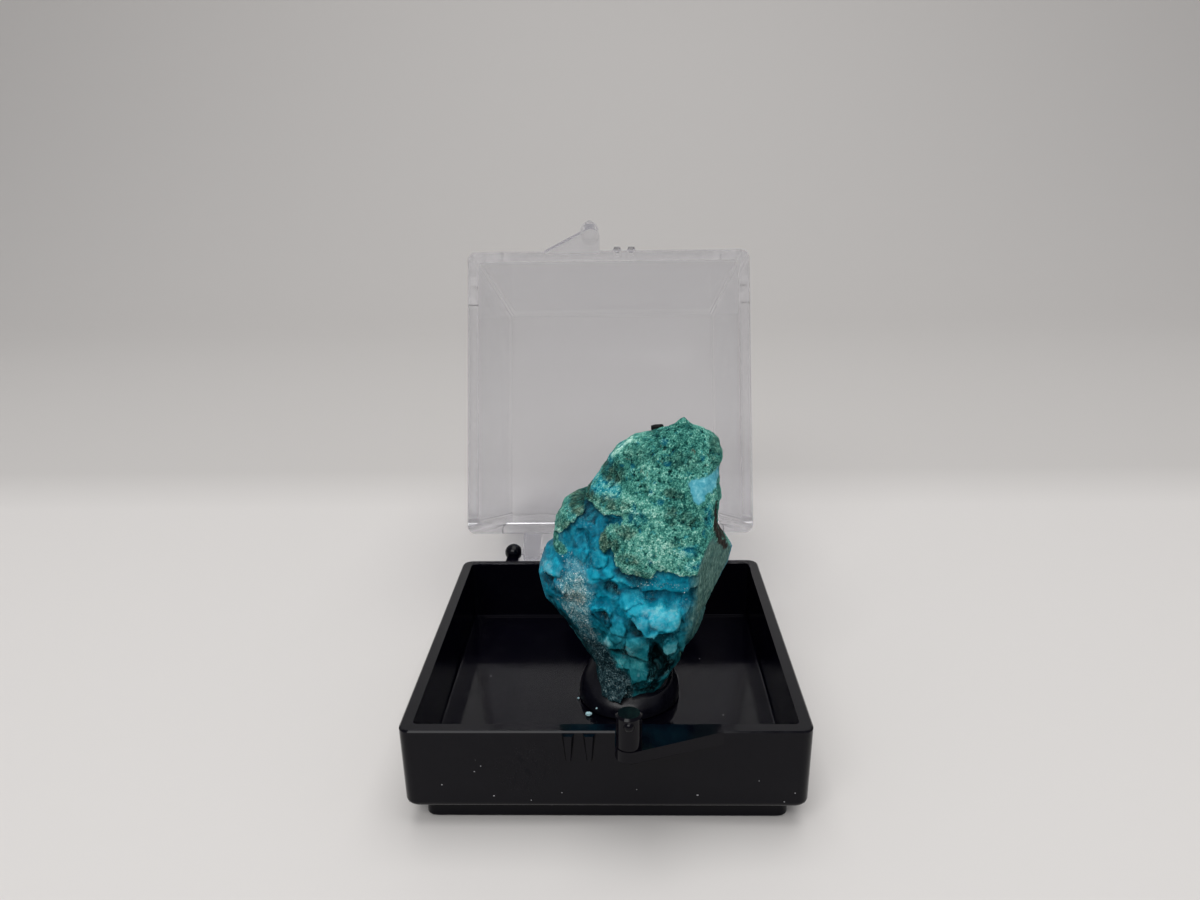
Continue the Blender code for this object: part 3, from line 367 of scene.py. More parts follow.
# ---- stage and light, in metres ----
FLOOR_REACH = 5.0
WALL_FOOT = 0.064
WALL_TOP = 1.4
SWEEP_START = 0.22
SWEEP_RADIUS = 0.18
SWEEP_STEPS = 12
WALL_BEGINS = (0.056, 0.074)       # along Y
PALER_BEGINS = (0.14, 0.20)        # upwards
FLOOR_COLOUR = (0.68, 0.657, 0.635, 1.0)
WALL_COLOUR = (0.56, 0.54, 0.52, 1.0)
PALER_COLOUR = (0.86, 0.85, 0.84, 1.0)
ROOM_COLOUR = (0.94, 0.95, 1.0, 1.0)
ROOM_STRENGTH = 0.30
# Area lights: name, place, what it is aimed at, width and height, watts.
LIGHTS = (("overhead", (0.03, 0.0, 0.50), (0.0, 0.0, 0.0), (0.5, 0.4), 1.42),
          ("front_fill", (-0.10, -0.36, 0.38), (0.0, 0.0, 0.01), (0.4, 0.22), 1.25))


# ---- numbers to surfaces ----
def along(pairs, value):
    """Values read off a list of (position, value) pairs."""
    positions, values = zip(*pairs)
    return np.interp(value, positions, values)


def ease(value):
    """0 below 0, 1 above 1 and smooth between."""
    value = np.clip(value, 0.0, 1.0)
    return value * value * (3.0 - 2.0 * value)


def noise_at(points, size, seed=0.0, shift=None):
    """Smooth noise of about -1 to 1, one number for each point."""
    shift = Vector(shift or (seed, seed * 1.7, seed * 2.3))
    return np.array([noise.noise(Vector(p) / size + shift) for p in points])


def cells_at(points, size, seed=0.0):
    """For each point: how far the four nearest cell centres are, and where they lie from it."""
    shift = Vector((seed, seed * 1.3, seed * 0.7))
    far = np.empty((len(points), 4))
    centres = np.empty((len(points), 4, 3))
    for i, point in enumerate(points):
        distances, places = noise.voronoi(Vector(point) / size + shift)
        far[i] = distances
        centres[i] = places
    away = points[:, None, :] / size + np.array(shift) - centres
    return far, centres, away


def lot(centres, turn):
    """A steady number from 0 to 1 for each cell."""
    return np.modf(np.abs(np.sin(centres @ np.array((12.99, 78.23, 37.72)) + turn)) * 4375.85)[0]


def sheet_through(points):
    """A smooth sheet y(x, z) through given points, bent as little as it can be."""
    data = np.array(points, dtype=float)
    xz = data[:, :2]
    count = len(data)

    def bend(squared):
        return 0.5 * squared * np.log(squared + 1e-9)

    gaps = ((xz[:, None, :] - xz[None, :, :]) ** 2).sum(axis=2)
    flat = np.hstack([np.ones((count, 1)), xz])
    system = np.zeros((count + 3, count + 3))
    system[:count, :count] = bend(gaps) + 0.05 * np.eye(count)
    system[:count, count:] = flat
    system[count:, :count] = flat.T
    weights = np.linalg.solve(system, np.append(data[:, 2], (0.0, 0.0, 0.0)))

    def sheet(x, z):
        squared = (x[:, None] - xz[:, 0]) ** 2 + (z[:, None] - xz[:, 1]) ** 2
        plane = weights[count] + weights[count + 1] * x + weights[count + 2] * z
        return bend(squared) @ weights[:count] + plane

    return sheet


def to_segment(x, z, ax, az, bx, bz):
    """Distance to a line from a to b, and how far along it its nearest place is, 0 to 1."""
    ex, ez = bx - ax, bz - az
    t = np.clip(((x - ax) * ex + (z - az) * ez) / (ex * ex + ez * ez), 0.0, 1.0)
    return np.hypot(x - ax - t * ex, z - az - t * ez), t


def depth_inside(x, z, outline):
    """Distance in from an outline's edge, less than 0 outside it."""
    nearest = np.full(x.shape, np.inf)
    inside = np.zeros(x.shape, dtype=bool)
    for (ax, az), (bx, bz) in zip(outline, outline[1:] + outline[:1]):
        nearest = np.minimum(nearest, to_segment(x, z, ax, az, bx, bz)[0])
        crossing = (az > z) != (bz > z)
        inside ^= crossing & (x < ax + (z - az) * (bx - ax) / (bz - az or 1.0))
    return np.where(inside, nearest, -nearest)


def near_line(x, z, line, soft):
    """1 on a line, falling to 0 past its half width."""
    best = np.zeros(x.shape)
    for (ax, az, aw), (bx, bz, bw) in zip(line, line[1:]):
        away, t = to_segment(x, z, ax, az, bx, bz)
        best = np.maximum(best, ease((aw + t * (bw - aw) - away) / soft + 0.5))
    return best


def spots(x, z, places):
    """Soft round places, at full strength where a spot gives none."""
    total = np.zeros(x.shape)
    for px, pz, half_width, half_height, *strength in places:
        away = ((x - px) / half_width) ** 2 + ((z - pz) / half_height) ** 2
        total = np.maximum(total, (strength[0] if strength else 1.0) * ease(1.25 - 0.75 * away))
    return total


# ---- stone ----
FRONT_SHEET = sheet_through(FRONT_POINTS)


def warped(x, z):
    """The same places shaken a little, so that drawn edges come out ragged."""
    flat = np.column_stack((x, np.zeros(len(x)), z))

    def shaken(value, wide_seed, fine_seed):
        return (value + SHAKE_WIDE * noise_at(flat, SHAKE_WIDE_SIZE, wide_seed)
                + SHAKE_FINE * noise_at(flat, SHAKE_FINE_SIZE, fine_seed))

    return shaken(x, 5.0, 2.0), shaken(z, 9.0, 4.0)


def crust_cover(x, z):
    """1 where the green crust covers the front, 0 where the blue is bare."""
    flat = np.column_stack((x, np.zeros(len(x)), z))
    ragged = sum(CRUST_SHAKE * noise_at(flat, size, seed)
                 for size, seed in zip(CRUST_SHAKE_SIZES, (1.0, 3.0)))
    return ease((depth_inside(x, z, CRUST_OUTLINE) - ragged) / CRUST_STEP + 0.5)


def front_relief(x, z, cover):
    """How far the crust, ledges and blocks stand out of the front sheet, less the hollows."""
    proud = CRUST_THICKNESS * cover
    below = along(LEDGE_LINE, x) - z
    within = ease(x - LEDGE_LINE[0][0]) * ease((LEDGE_LINE[-1][0] + 0.3 - x) * 2)
    hollow = ease(below / LEDGE_STEP) * ease(1.6 - below / LEDGE_FADE)
    proud = proud - within * LEDGE_HOLLOW * hollow
    lift = np.zeros(x.shape)
    for outline, height, lean_x, lean_z in BLOCKS:
        cx, cz = np.mean(outline, axis=0)
        edge = ease(depth_inside(x, z, outline) / BLOCK_WALL + 0.5)
        lift = np.maximum(lift, edge * (height + lean_x * (x - cx) + lean_z * (z - cz)))
    proud = proud + lift * (1.0 - cover)
    for px, pz, half_width, half_height, depth in HOLLOWS:
        away = np.sqrt(((x - px) / half_width) ** 2 + ((z - pz) / half_height) ** 2)
        proud = proud - depth * ease((1.0 - away) * 1.6)
    for px, pz, radius in PITS:
        proud = proud - 1.6 * radius * ease(1.4 - np.hypot(x - px, z - pz) / radius)
    return proud


def stone_grid():
    """Points of the stone's skin as the solid has them, and how far each lies past the faces."""
    turns = np.concatenate([np.linspace(0.0, 0.5, FRONT_COLUMNS, endpoint=False),
                            np.linspace(0.5, 1.0, BACK_COLUMNS, endpoint=False)])
    heights = np.linspace(STONE_BOTTOM, STONE_TOP, STONE_LEVELS + 1)
    turn, z = (a.ravel() for a in np.meshgrid(turns, heights))
    left, right = along(LEFT_SIDE, z), along(RIGHT_SIDE, z)
    middle, half = (left + right) / 2, (right - left) / 2
    side = along(SIDE_DEPTH, z)
    angle = 2 * math.pi * turn
    u, v = -np.cos(angle), np.sin(angle)
    x = middle + half * u
    front = turn < 0.5
    wx, wz = warped(x, z)
    cover = crust_cover(x, z)
    ahead = side - (FRONT_SHEET(x, z) - front_relief(wx, wz, cover))
    behind = along(BACK_DEPTH, z) - side
    y = np.where(front, side - ahead * (1.0 - np.abs(u) ** FRONT_SQUARENESS) ** SIDE_ROUNDNESS,
                 side + behind * np.abs(v) ** BACK_ROUNDNESS)
    depth = np.where(front, ahead, behind)
    out = np.column_stack((u / half, (y - side) / np.maximum(depth, 0.5) ** 2, np.zeros(len(x))))
    out /= np.linalg.norm(out, axis=1)[:, None] + 1e-9
    points = np.column_stack((x, y, z))
    rounded = 0.8 * (0.45 - cells_at(points, LUMP_SIZE)[0][:, 0])
    lumps = LUMP_HEIGHT * (noise_at(points, LUMP_SIZE, shift=LUMP_SHIFT) + rounded)
    lumps += GRAIN_HEIGHT * noise_at(points, GRAIN_SIZE)
    points += out * lumps[:, None]
    past = np.zeros((len(points), len(FACES)))
    for i, (origin, facing) in enumerate(FACES):
        normal = np.array(facing) / np.linalg.norm(facing)
        beyond = np.maximum((points - np.array(origin)) @ normal, 0.0)
        past[:, i] = beyond
        points -= normal * (beyond * FACE_PULL)[:, None]
    return points, front, cover, past


def skin_mesh(name, points, columns):
    """Closed mesh over a grid of points: quads round the sides and a fan at each end."""
    index = np.arange(len(points)).reshape(-1, columns)
    after = np.roll(index, -1, axis=1)
    quads = np.stack((index[:-1], after[:-1], after[1:], index[1:]), axis=-1).reshape(-1, 4)
    faces = [tuple(quad) for quad in quads]
    bottom, top = len(points), len(points) + 1
    for low, low_after, high, high_after in zip(index[0], after[0], index[-1], after[-1]):
        faces += [(low_after, low, bottom), (high, high_after, top)]
    ends = points[:columns].mean(axis=0), points[-columns:].mean(axis=0)
    mesh = bpy.data.meshes.new(name)
    mesh.from_pydata((np.vstack((points, *ends)) * MM).tolist(), [], faces)
    mesh.update()
    mesh.shade_smooth()
    return mesh


def bm_mesh(name, bm):
    """A named mesh from a bmesh, which is used up."""
    mesh = bpy.data.meshes.new(name)
    bm.to_mesh(mesh)
    bm.free()
    return mesh


def read_vectors(items, name):
    """A vector of every item of a mesh, one to a row."""
    out = np.empty(len(items) * 3, np.float32)
    items.foreach_get(name, out)
    return out.reshape(-1, 3).astype(float)


def scoops(points, size, depth, lean, seed):
    """Shell-shaped chips side by side: their height, and 1 on the sharp ridges between them."""
    stretched = points * np.array((1.0, 1.0, 0.72))
    far, centres, away = cells_at(stretched, size, seed)
    slope = np.stack([lot(centres, turn) - 0.5 for turn in (1.0, 2.0, 3.0)], axis=-1)
    level = depth * (0.6 * far ** 2 + 0.8 * lot(centres, 4.0)) + lean * (away * slope).sum(axis=2)
    level.sort(axis=1)
    ridge = ease(1.0 - (level[:, 1] - level[:, 0]) / (0.22 * depth))
    return level[:, 0] - level[:, 0].mean(), ridge


def knobbly(points, size, seed):
    """Small round grains packed side by side, from about -0.5 to 0.6."""
    return 0.62 - cells_at(points, size, seed)[0][:, 0] ** 2 * 1.3


def curly(points, size, seed):
    """Thin winding threads: 1 along them, less than 0 between."""
    shaken = points + 0.5 * size * np.column_stack(
        [noise_at(points, size, seed + i) for i in (1.0, 2.0, 3.0)])
    return 1.0 - 3.2 * np.abs(noise_at(shaken, size, seed))


def settled(points, columns, rounds):
    """The same grid of points with its detail smoothed away."""
    grid = points.reshape(-1, columns, 3)
    for _ in range(rounds):
        upright = np.concatenate((grid[:1], grid, grid[-1:]))
        grid = (np.roll(grid, 1, axis=1) + np.roll(grid, -1, axis=1)
                + upright[:-2] + upright[2:]) / 4
    return grid.reshape(-1, 3)


def facet_tones(x, z, deep):
    """Tone of the broken faces, which holds painted light and shade, 1 on their paler rims (partly
    wear, partly painted light), and how proud each face stands.
    """
    tone = PLAIN_TONE - 0.10 * deep
    rim = np.zeros(x.shape)
    step = np.zeros(x.shape)
    for index, (outline, level, lean_x, lean_z) in enumerate(FACETS):
        cx, cz = np.mean(outline, axis=0)
        inside = depth_inside(x, z, outline)
        edge = ease(inside / FACET_EDGE + 0.5)
        turn = FAR_TURN * index
        tilt = FACET_LEAN * (math.cos(turn) * (x - cx) + math.sin(turn) * (z - cz))
        soft = ease(inside / FACET_BLUR + 0.6)
        tone = tone + soft * (level + lean_x * (x - cx) + lean_z * (z - cz) - tone)
        step = step + edge * (FACET_RISE * (level - PLAIN_TONE) + tilt - step)
        rim = np.maximum(rim * (1.0 - edge), ease(1.0 - np.abs(inside - 0.06) / 0.10) * level)
    return tone, rim, step


def stone_growths(places, normals, front, cover, past):
    """How strongly each growth and colour shows at each point of the skin, mostly 0 to 1, with the
    painted light and shade of the faces' tone and of the lower left edge.
    """
    x, z = places[:, 0], places[:, 2]
    wx, wz = warped(x, z)
    ragged = 0.45 * noise_at(places, 0.9, 14.0) + 0.25 * noise_at(places, 0.3, 15.0)
    facing = ease((-normals[:, 1] + 0.25) * 1.6) * front

    # Painted shade along the lower left edge darkens the faces and thins the druse there.
    low_left_shade = near_line(wx, wz, LOW_LEFT_SHADE_LINE, LOW_LEFT_SHADE_FADE) * facing
    druse = ease((depth_inside(wx, wz, DRUSE_OUTLINE) + ragged) / DRUSE_FADE + 0.5) * facing
    druse *= 1.0 - 0.75 * low_left_shade
    sky = ease((depth_inside(wx, wz, SKY_OUTLINE) + 0.3 * ragged) / SKY_FADE + 0.5) * facing
    strip = near_line(wx + 0.4 * ragged, wz, STRIP_LINE, STRIP_FADE)
    strip *= ease((normals[:, 0] - 0.1) * 3.0)

    flank = ease(past[:, 0] * 3.0)
    patchy = ease(noise_at(places, 4.0, 11.0) * 2.5 + 0.9)
    green = spots(wx, wz, GREEN_SPOTS) * facing
    crust = np.maximum(cover, green) * facing + (1.0 - facing) * np.maximum(patchy, cover)
    crust = np.clip(crust, 0.0, 1.0) * (1.0 - 0.8 * flank)
    origin, turned = np.array(FACES[0])
    before = (places - origin) @ (turned / np.linalg.norm(turned))
    turning = 0.8 * ease((before + 0.75 + 0.5 * ragged) / 0.7) * facing * (1.0 - cover)
    flank = np.maximum(flank, turning)

    deep = ease((DEEP_HEIGHT - z) / DEEP_FADE)
    tone, rim, step = facet_tones(wx, wz, deep)
    tone += 0.07 * noise_at(places * np.array((1.0, 1.0, 0.4)), 0.5, 17.0)
    return SimpleNamespace(
        facing=facing, crust=crust, druse=druse, sky=sky, strip=strip, flank=flank, deep=deep,
        tone=tone * (1.0 - 0.85 * low_left_shade), rim=rim, step=step, bare=(1.0 - crust) * (1.0 - flank),
        broken=ease(past[:, 1:].max(axis=1) * 1.5) * (1.0 - facing),
        frost=spots(wx, wz, FROST) * facing, fleck=spots(wx, wz, FLECKS) * facing,
        veil=spots(wx, wz, VEILS) * facing, tan=spots(wx, wz, TAN),
        turquoise=spots(wx, wz, TURQUOISE), mint_and_lit=spots(wx, wz, MINT_AND_LIT), olive=spots(wx, wz, OLIVE),
        pale_ridge=near_line(x, z, PALE_RIDGE, RIDGE_FADE) * facing)


def stone_relief(places, grown):
    """How far the skin is raised, how high its grains are and where sharp ridges run."""
    x, z = places[:, 0], places[:, 2]
    threads = curly(places, 0.34, 21.0)
    grains = 0.5 * threads + 0.9 * knobbly(places, 0.5, 1.0) + 0.5 * noise_at(places, 0.17, 7.0)
    swell = CRUST_SWELL * noise_at(places, 1.3, 6.0)
    crystals = knobbly(places, 0.36, 2.0) + 0.5 * noise_at(places, 0.16, 3.0)
    strands = noise_at(places * np.array((1.0, 1.0, 0.22)), 0.35, 8.0)
    large, large_ridge = scoops(places, *LARGE_SCOOPS, 3.0)
    small, small_ridge = scoops(places, *SMALL_SCOOPS, 6.0)
    waxy = 1.0 - 0.85 * ease((z - WAXY_HEIGHT) / 1.5) * ease((1.0 - x) / 1.2)

    amount = grown.crust * (1.0 - grown.sky) * (CRUST_RELIEF * grains + swell)
    amount -= FLECK_SINK * grown.fleck * grown.crust
    amount += grown.bare * (1.0 - 0.8 * grown.druse) * (large + small) * waxy
    amount += grown.bare * grown.facing * (1.0 - grown.druse) * grown.step
    amount += grown.bare * grown.druse * CRYSTAL_RELIEF * crystals
    amount += grown.flank * (STRAND_RELIEF * strands + FLANK_RELIEF * grains)
    amount += FINEST_RELIEF * noise_at(places, 0.12, 12.0)
    taper = ease((z - STONE_BOTTOM) / 1.5) * ease((STONE_TOP - z) / 0.4)

    level = (grains - grains.min()) / np.ptp(grains)
    ridge = np.maximum(grown.rim, np.maximum(0.5 * large_ridge, 0.3 * small_ridge))
    return amount * taper, level, ridge * grown.bare * (1.0 - 0.7 * grown.druse)


def skin_hollows(places, normals, columns):
    """Above 0 in wide and in close hollows of the skin, below 0 on its edges."""
    skin = places[:-2]
    wide, close = (((settled(skin, columns, rounds) - skin) * normals[:-2]).sum(axis=1)
                   for rounds in (60, 6))
    return np.append(wide / 0.30 + close / 0.06, (0.0, 0.0)) * 0.5


def build_stone():
    """The stone's mesh, with its growths raised and kept as attributes for the material."""
    points, front, cover, past = stone_grid()
    points[:, 2] += FLOOR_Z
    columns = FRONT_COLUMNS + BACK_COLUMNS
    mesh = skin_mesh("stone", points, columns)
    places = read_vectors(mesh.vertices, "co") / MM
    normals = read_vectors(mesh.vertex_normals, "vector")
    places[:, 2] -= FLOOR_Z
    # The skin's two ends come last: the foot without crust and the crest with it.
    front = np.append(front, (True, True)).astype(float)
    cover = np.append(cover, (0.0, 1.0))
    past = np.pad(past, ((0, 2), (0, 0)))
    grown = stone_growths(places, normals, front, cover, past)
    amount, level, ridge = stone_relief(places, grown)
    crest = ease(1.0 - np.abs(places[:, 0] - CREST_X) / CREST_REACH)
    crest *= ease((places[:, 2] - STONE_TOP) / CREST_REACH + 1.0)
    places[:, 2] += FLOOR_Z + CREST_RISE * crest
    places += normals * amount[:, None]
    mesh.vertices.foreach_set("co", (places * MM).astype(np.float32).ravel())
    mesh.update()

    hollow = skin_hollows(places, normals, columns)
    patches = ease(noise_at(places, 0.7, 16.0) * 1.6 + 0.7)
    sown = grown.druse * (1.0 - 0.8 * grown.deep) + 0.7 * grown.frost
    attributes = {name: getattr(grown, name) for name in (
        "crust", "sky", "strip", "flank", "deep", "tone", "broken", "frost", "fleck", "veil",
        "tan", "turquoise", "mint_and_lit", "olive", "pale_ridge")}
    # hollow darkens the colour in the skin's hollows as painted shade; edge lightens its edges,
    # partly wear and partly painted light.
    attributes |= {"druse": grown.druse * (1.0 - grown.crust), "grain": level, "ridge": ridge,
                   "hollow": hollow, "edge": -hollow,
                   "sown": sown * (1.0 - grown.crust) * patches}
    for name, values in attributes.items():
        layer = mesh.attributes.new(name, "FLOAT", "POINT")
        layer.data.foreach_set("value", np.clip(values, 0.0, 1.0).astype(np.float32))
    return mesh


# ---- material helpers ----
def srgb(red, green, blue):
    """A colour given as 0 to 255 display values, in linear light."""
    def linear(value):
        value /= 255.0
        return value / 12.92 if value <= 0.04045 else ((value + 0.055) / 1.055) ** 2.4
    return (linear(red), linear(green), linear(blue), 1.0)


def wire(tree, socket, value):
    """Link an output to an input, or give the input a plain value."""
    if isinstance(value, bpy.types.NodeSocket):
        tree.links.new(value, socket)
    else:
        socket.default_value = value


def add_node(tree, kind, inputs=None, **settings):
    made = tree.nodes.new(kind)
    for key, value in settings.items():
        setattr(made, key, value)
    for key, value in (inputs or {}).items():
        wire(tree, made.inputs[key], value)
    return made


class Recipe:
    """A material's node tree, with short calls for the nodes that the finishes use. A value may
    be a number, a colour, an output or the name of an attribute."""

    def __init__(self, name):
        self.material = bpy.data.materials.new(name)
        self.material.use_nodes = True
        self.tree = self.material.node_tree
        self.shader = self.tree.nodes["Principled BSDF"]
        self.place = self.node("ShaderNodeTexCoord").outputs["Object"]

    def node(self, kind, inputs=None, **settings):
        found = {key: self.found(value) for key, value in (inputs or {}).items()}
        return add_node(self.tree, kind, found, **settings)

    def found(self, value):
        """The attribute of a name, or the value itself."""
        if isinstance(value, str):
            return self.node("ShaderNodeAttribute", attribute_name=value).outputs["Fac"]
        return value

    def set(self, **values):
        """Link or set inputs of the shader, their names written with underscores."""
        for name, value in values.items():
            wire(self.tree, self.shader.inputs[name.replace("_", " ")], value)

    def noise(self, size, detail=3.0, roughness=0.55, stretch=None, distortion=0.0):
        """Noise whose patches are about this many millimetres across."""
        place = self.place
        if stretch:
            place = self.node("ShaderNodeMapping", {"Vector": place, "Scale": stretch}).outputs[0]
        return self.node("ShaderNodeTexNoise", {
            "Vector": place, "Scale": 1.0 / (size * MM), "Detail": detail,
            "Roughness": roughness, "Distortion": distortion}).outputs["Fac"]

    def cells(self, size):
        return self.node("ShaderNodeTexVoronoi", {
            "Vector": self.place, "Scale": 1.0 / (size * MM)}).outputs["Distance"]

    def ramp(self, factor, *stops):
        """Colours over a factor: each stop has its position, then red, green and blue, or a
        ready colour."""
        node = self.node("ShaderNodeValToRGB", {"Fac": factor})
        band = node.color_ramp
        while len(band.elements) < len(stops):
            band.elements.new(1.0)
        for element, (position, *colour) in zip(band.elements, stops):
            element.position = position
            element.color = srgb(*colour) if len(colour) == 3 else colour[0]
        return node.outputs["Color"]

    def near(self, place, reach):
        """1 at a place given in millimetres, falling to 0 at its reach."""
        away = self.node("ShaderNodeVectorMath", {0: self.place, 1: Vector(place) * MM},
                         operation="DISTANCE").outputs["Value"]
        return self.span(away, reach * MM, 0.3 * reach * MM)

    def span(self, value, low, high, out_low=0.0, out_high=1.0):
        return self.node("ShaderNodeMapRange", {
            "Value": value, "From Min": low, "From Max": high,
            "To Min": out_low, "To Max": out_high}).outputs["Result"]

    def swing(self, value, amount):
        """A noise's usual range turned into plus or minus an amount."""
        return self.span(value, 0.3, 0.7, -amount, amount)

    def mix(self, factor, first, second):
        return self.node("ShaderNodeMix", {0: factor, 6: first, 7: second},
                         data_type="RGBA").outputs[2]

    def blend(self, factor, first, second):
        return self.node("ShaderNodeMix", {0: factor, 2: first, 3: second},
                         data_type="FLOAT").outputs[0]

    def maths(self, operation, first, second=0.0, clamp=False):
        return self.node("ShaderNodeMath", {0: first, 1: second}, operation=operation,
                         use_clamp=clamp).outputs[0]

    def add(self, *values):
        """A sum held between 0 and 1."""
        total = values[0]
        for value in values[1:-1]:
            total = self.maths("ADD", total, value)
        return self.maths("ADD", total, values[-1], clamp=True)

    def times(self, product, *values):
        for value in values:
            product = self.maths("MULTIPLY", product, value)
        return product

    def bump(self, height, depth, strength=1.0, **onto):
        return self.node("ShaderNodeBump", {"Height": height, "Distance": depth * MM,
                                            "Strength": strength, **onto}).outputs["Normal"]


# ---- materials ----
def crust_colour(r, fine, broad):
    """Granular green with turquoise and olive places: pale threads and rims over dark pits,
    painted light and shade over the crust's own mottling.
    """
    # Painted shade: dark pits in some cells, where the skin has none.
    pits = r.span(r.cells(0.36), 0.30, 0.08)
    rings = r.cells(0.5)
    rim = r.times(r.span(rings, 0.18, 0.30), r.span(rings, 0.55, 0.36))
    # The level follows the grain height, low between grains as painted shade and high on grain
    # tops as painted light; hollows darken and edges lighten the same way.
    level = r.add(r.span("grain", 0.15, 0.95, 0.22, 0.56), r.span(fine, 0.32, 0.68, -0.22, 0.26),
                  r.times(rim, 0.15), r.times(pits, r.span(r.noise(1.2, 2.0), 0.40, 0.55), -0.26),
                  r.span(broad, 0.35, 0.65, -0.06, 0.06), r.times("edge", 0.14),
                  r.times("hollow", -0.20), r.times("mint_and_lit", 0.13), r.times("pale_ridge", 0.40),
                  r.times("olive", -0.13))
    green = r.ramp(level, (0.06, 0, 30, 34), (0.20, 6, 60, 60), (0.36, 32, 98, 90),
                   (0.50, 62, 134, 122), (0.68, 104, 182, 164), (0.90, 196, 240, 224))
    teal = r.ramp(level, (0.06, 0, 48, 74), (0.30, 0, 106, 134), (0.56, 36, 160, 170),
                  (0.85, 170, 234, 226))
    speck = r.times(r.span(r.noise(0.42, 3.0, distortion=0.8), 0.61, 0.70), 0.6)
    bluish = r.times("turquoise", r.span(r.noise(0.6, 3.0), 0.36, 0.56, 0.25, 1.0))
    green = r.mix(r.add(speck, bluish), green, teal)
    olive = r.ramp(level, (0.06, 6, 24, 22), (0.30, 34, 66, 56), (0.56, 86, 116, 98),
                   (0.90, 178, 204, 180))
    dull = r.times("olive", r.span(r.noise(0.8, 3.0), 0.36, 0.58, 0.15, 0.9))
    green = r.mix(dull, green, olive)
    rust = r.times(r.span(r.noise(0.7, 2.0, distortion=0.5), 0.67, 0.74), 0.35)
    green = r.mix(rust, green, srgb(112, 96, 74))
    deep_blue = r.ramp(fine, (0.35, 0, 74, 106), (0.65, 18, 140, 166))
    fleck = r.times("fleck", r.span(fine, 0.40, 0.56, 0.9, 0.35))
    return r.mix(fleck, green, deep_blue), level


def blue_colour(r, middling, broad):
    """Waxy blue, pale along its broken rims (partly wear, partly painted light through thin
    edges), paler on its thick lumps as painted light, and darker low down, partly its murkier
    colour and partly painted shade.
    """
    mottle = r.noise(0.28, 4.0, 0.7, stretch=(1.0, 1.0, 0.6), distortion=0.6)
    # The faces' tone carries painted light and shade; hollows darken as painted shade and edges
    # lighten, partly wear and partly painted light.
    tone = r.add("tone", 0.03, r.swing(middling, 0.13),
                 r.swing(mottle, 0.08), r.swing(broad, 0.06),
                 r.times("hollow", -0.09), r.times("edge", 0.08))
    blue = r.ramp(tone, (0.0, 0, 14, 18), (0.20, 0, 60, 78), (0.46, 0, 112, 138),
                  (0.66, 0, 148, 176), (0.88, 44, 184, 208), (1.0, 120, 216, 226))
    # Darker colours low down: partly the stone's murkier blue, partly painted shade.
    murky_and_shaded = r.ramp(tone, (0.0, 0, 14, 18), (0.12, 0, 42, 50), (0.38, 16, 108, 118),
                   (0.58, 40, 138, 146), (0.75, 72, 164, 168), (1.0, 140, 204, 208))
    blue = r.mix("deep", blue, murky_and_shaded)
    # Paler along the ridges and rims: partly wear, partly painted light through thin edges.
    pale = r.times("ridge", r.span(r.noise(0.5, 3.0), 0.40, 0.62, 0.0, 0.6))
    blue = r.mix(pale, blue, r.mix("deep", srgb(56, 184, 204), srgb(76, 156, 164)))
    swirl = r.noise(0.6, 4.0, 0.6, stretch=(1.0, 1.0, 0.45), distortion=1.0)
    thread = r.span(r.maths("ABSOLUTE", r.maths("SUBTRACT", swirl, 0.5)), 0.022, 0.0)
    wisp = r.times(thread, r.span(r.noise(1.6, 2.0), 0.46, 0.60),
                   r.span("deep", 0.0, 1.0, 0.3, 1.0))
    blue = r.mix(wisp, blue, r.mix("deep", srgb(96, 200, 214), srgb(88, 160, 166)))
    veil = r.times("veil", r.span(r.noise(0.5, 4.0, 0.65, distortion=0.8), 0.38, 0.64), 0.55)
    blue = r.mix(veil, blue, srgb(150, 206, 216))
    strewn = r.times(r.span(r.noise(1.5, 3.0), 0.54, 0.66), 0.35)
    flecks = r.times(r.span(r.noise(0.14, 3.0, 0.7), 0.56, 0.68),
                     r.add(strewn, r.times("frost", 0.9)))
    return r.mix(flecks, blue, srgb(176, 214, 218))


def druse_colour(r):
    """Crust of tiny quartz crystals: white over blue, tan in its middle, dark at the foot as
    painted shade.
    """
    patches = r.noise(0.55, 4.0, 0.65, distortion=0.7)
    sparkle = r.add(r.span(r.noise(0.13, 3.0, 0.7), 0.3, 0.7, 0.28, 0.72),
                    r.swing(patches, 0.12))
    frost = r.ramp(sparkle, (0.34, 22, 102, 122), (0.48, 78, 150, 164), (0.58, 136, 188, 194),
                   (0.70, 232, 242, 242))
    tan = r.ramp(sparkle, (0.34, 58, 94, 96), (0.48, 118, 144, 138), (0.68, 208, 208, 198))
    stained = r.times("tan", r.span(r.noise(0.5, 2.0), 0.36, 0.56, 0.3, 1.0))
    # Painted shade: the druse darkens low down.
    low = r.ramp(sparkle, (0.40, 8, 30, 38), (0.56, 44, 74, 80), (0.72, 126, 146, 148))
    return r.mix(r.span("deep", 0.25, 0.9), r.mix(stained, frost, tan), low)


def flank_colour(r):
    """Fibrous green-grey of the long face on the right."""
    strands = r.noise(0.2, 4.0, 0.65, stretch=(1.0, 1.0, 0.35))
    # The level falls in the hollows and low down as painted shade.
    level = r.add(r.span(strands, 0.3, 0.7, 0.05, 0.85), r.times("hollow", -0.2),
                  r.times("deep", -0.3))
    grey = r.ramp(level, (0.0, 26, 58, 56), (0.35, 76, 116, 108), (0.65, 112, 152, 142),
                  (1.0, 176, 208, 196))
    return r.mix(r.times(r.span(r.noise(0.9, 3.0), 0.52, 0.64), 0.5), grey,
                 r.ramp(strands, (0.3, 22, 62, 64), (0.7, 74, 128, 126)))


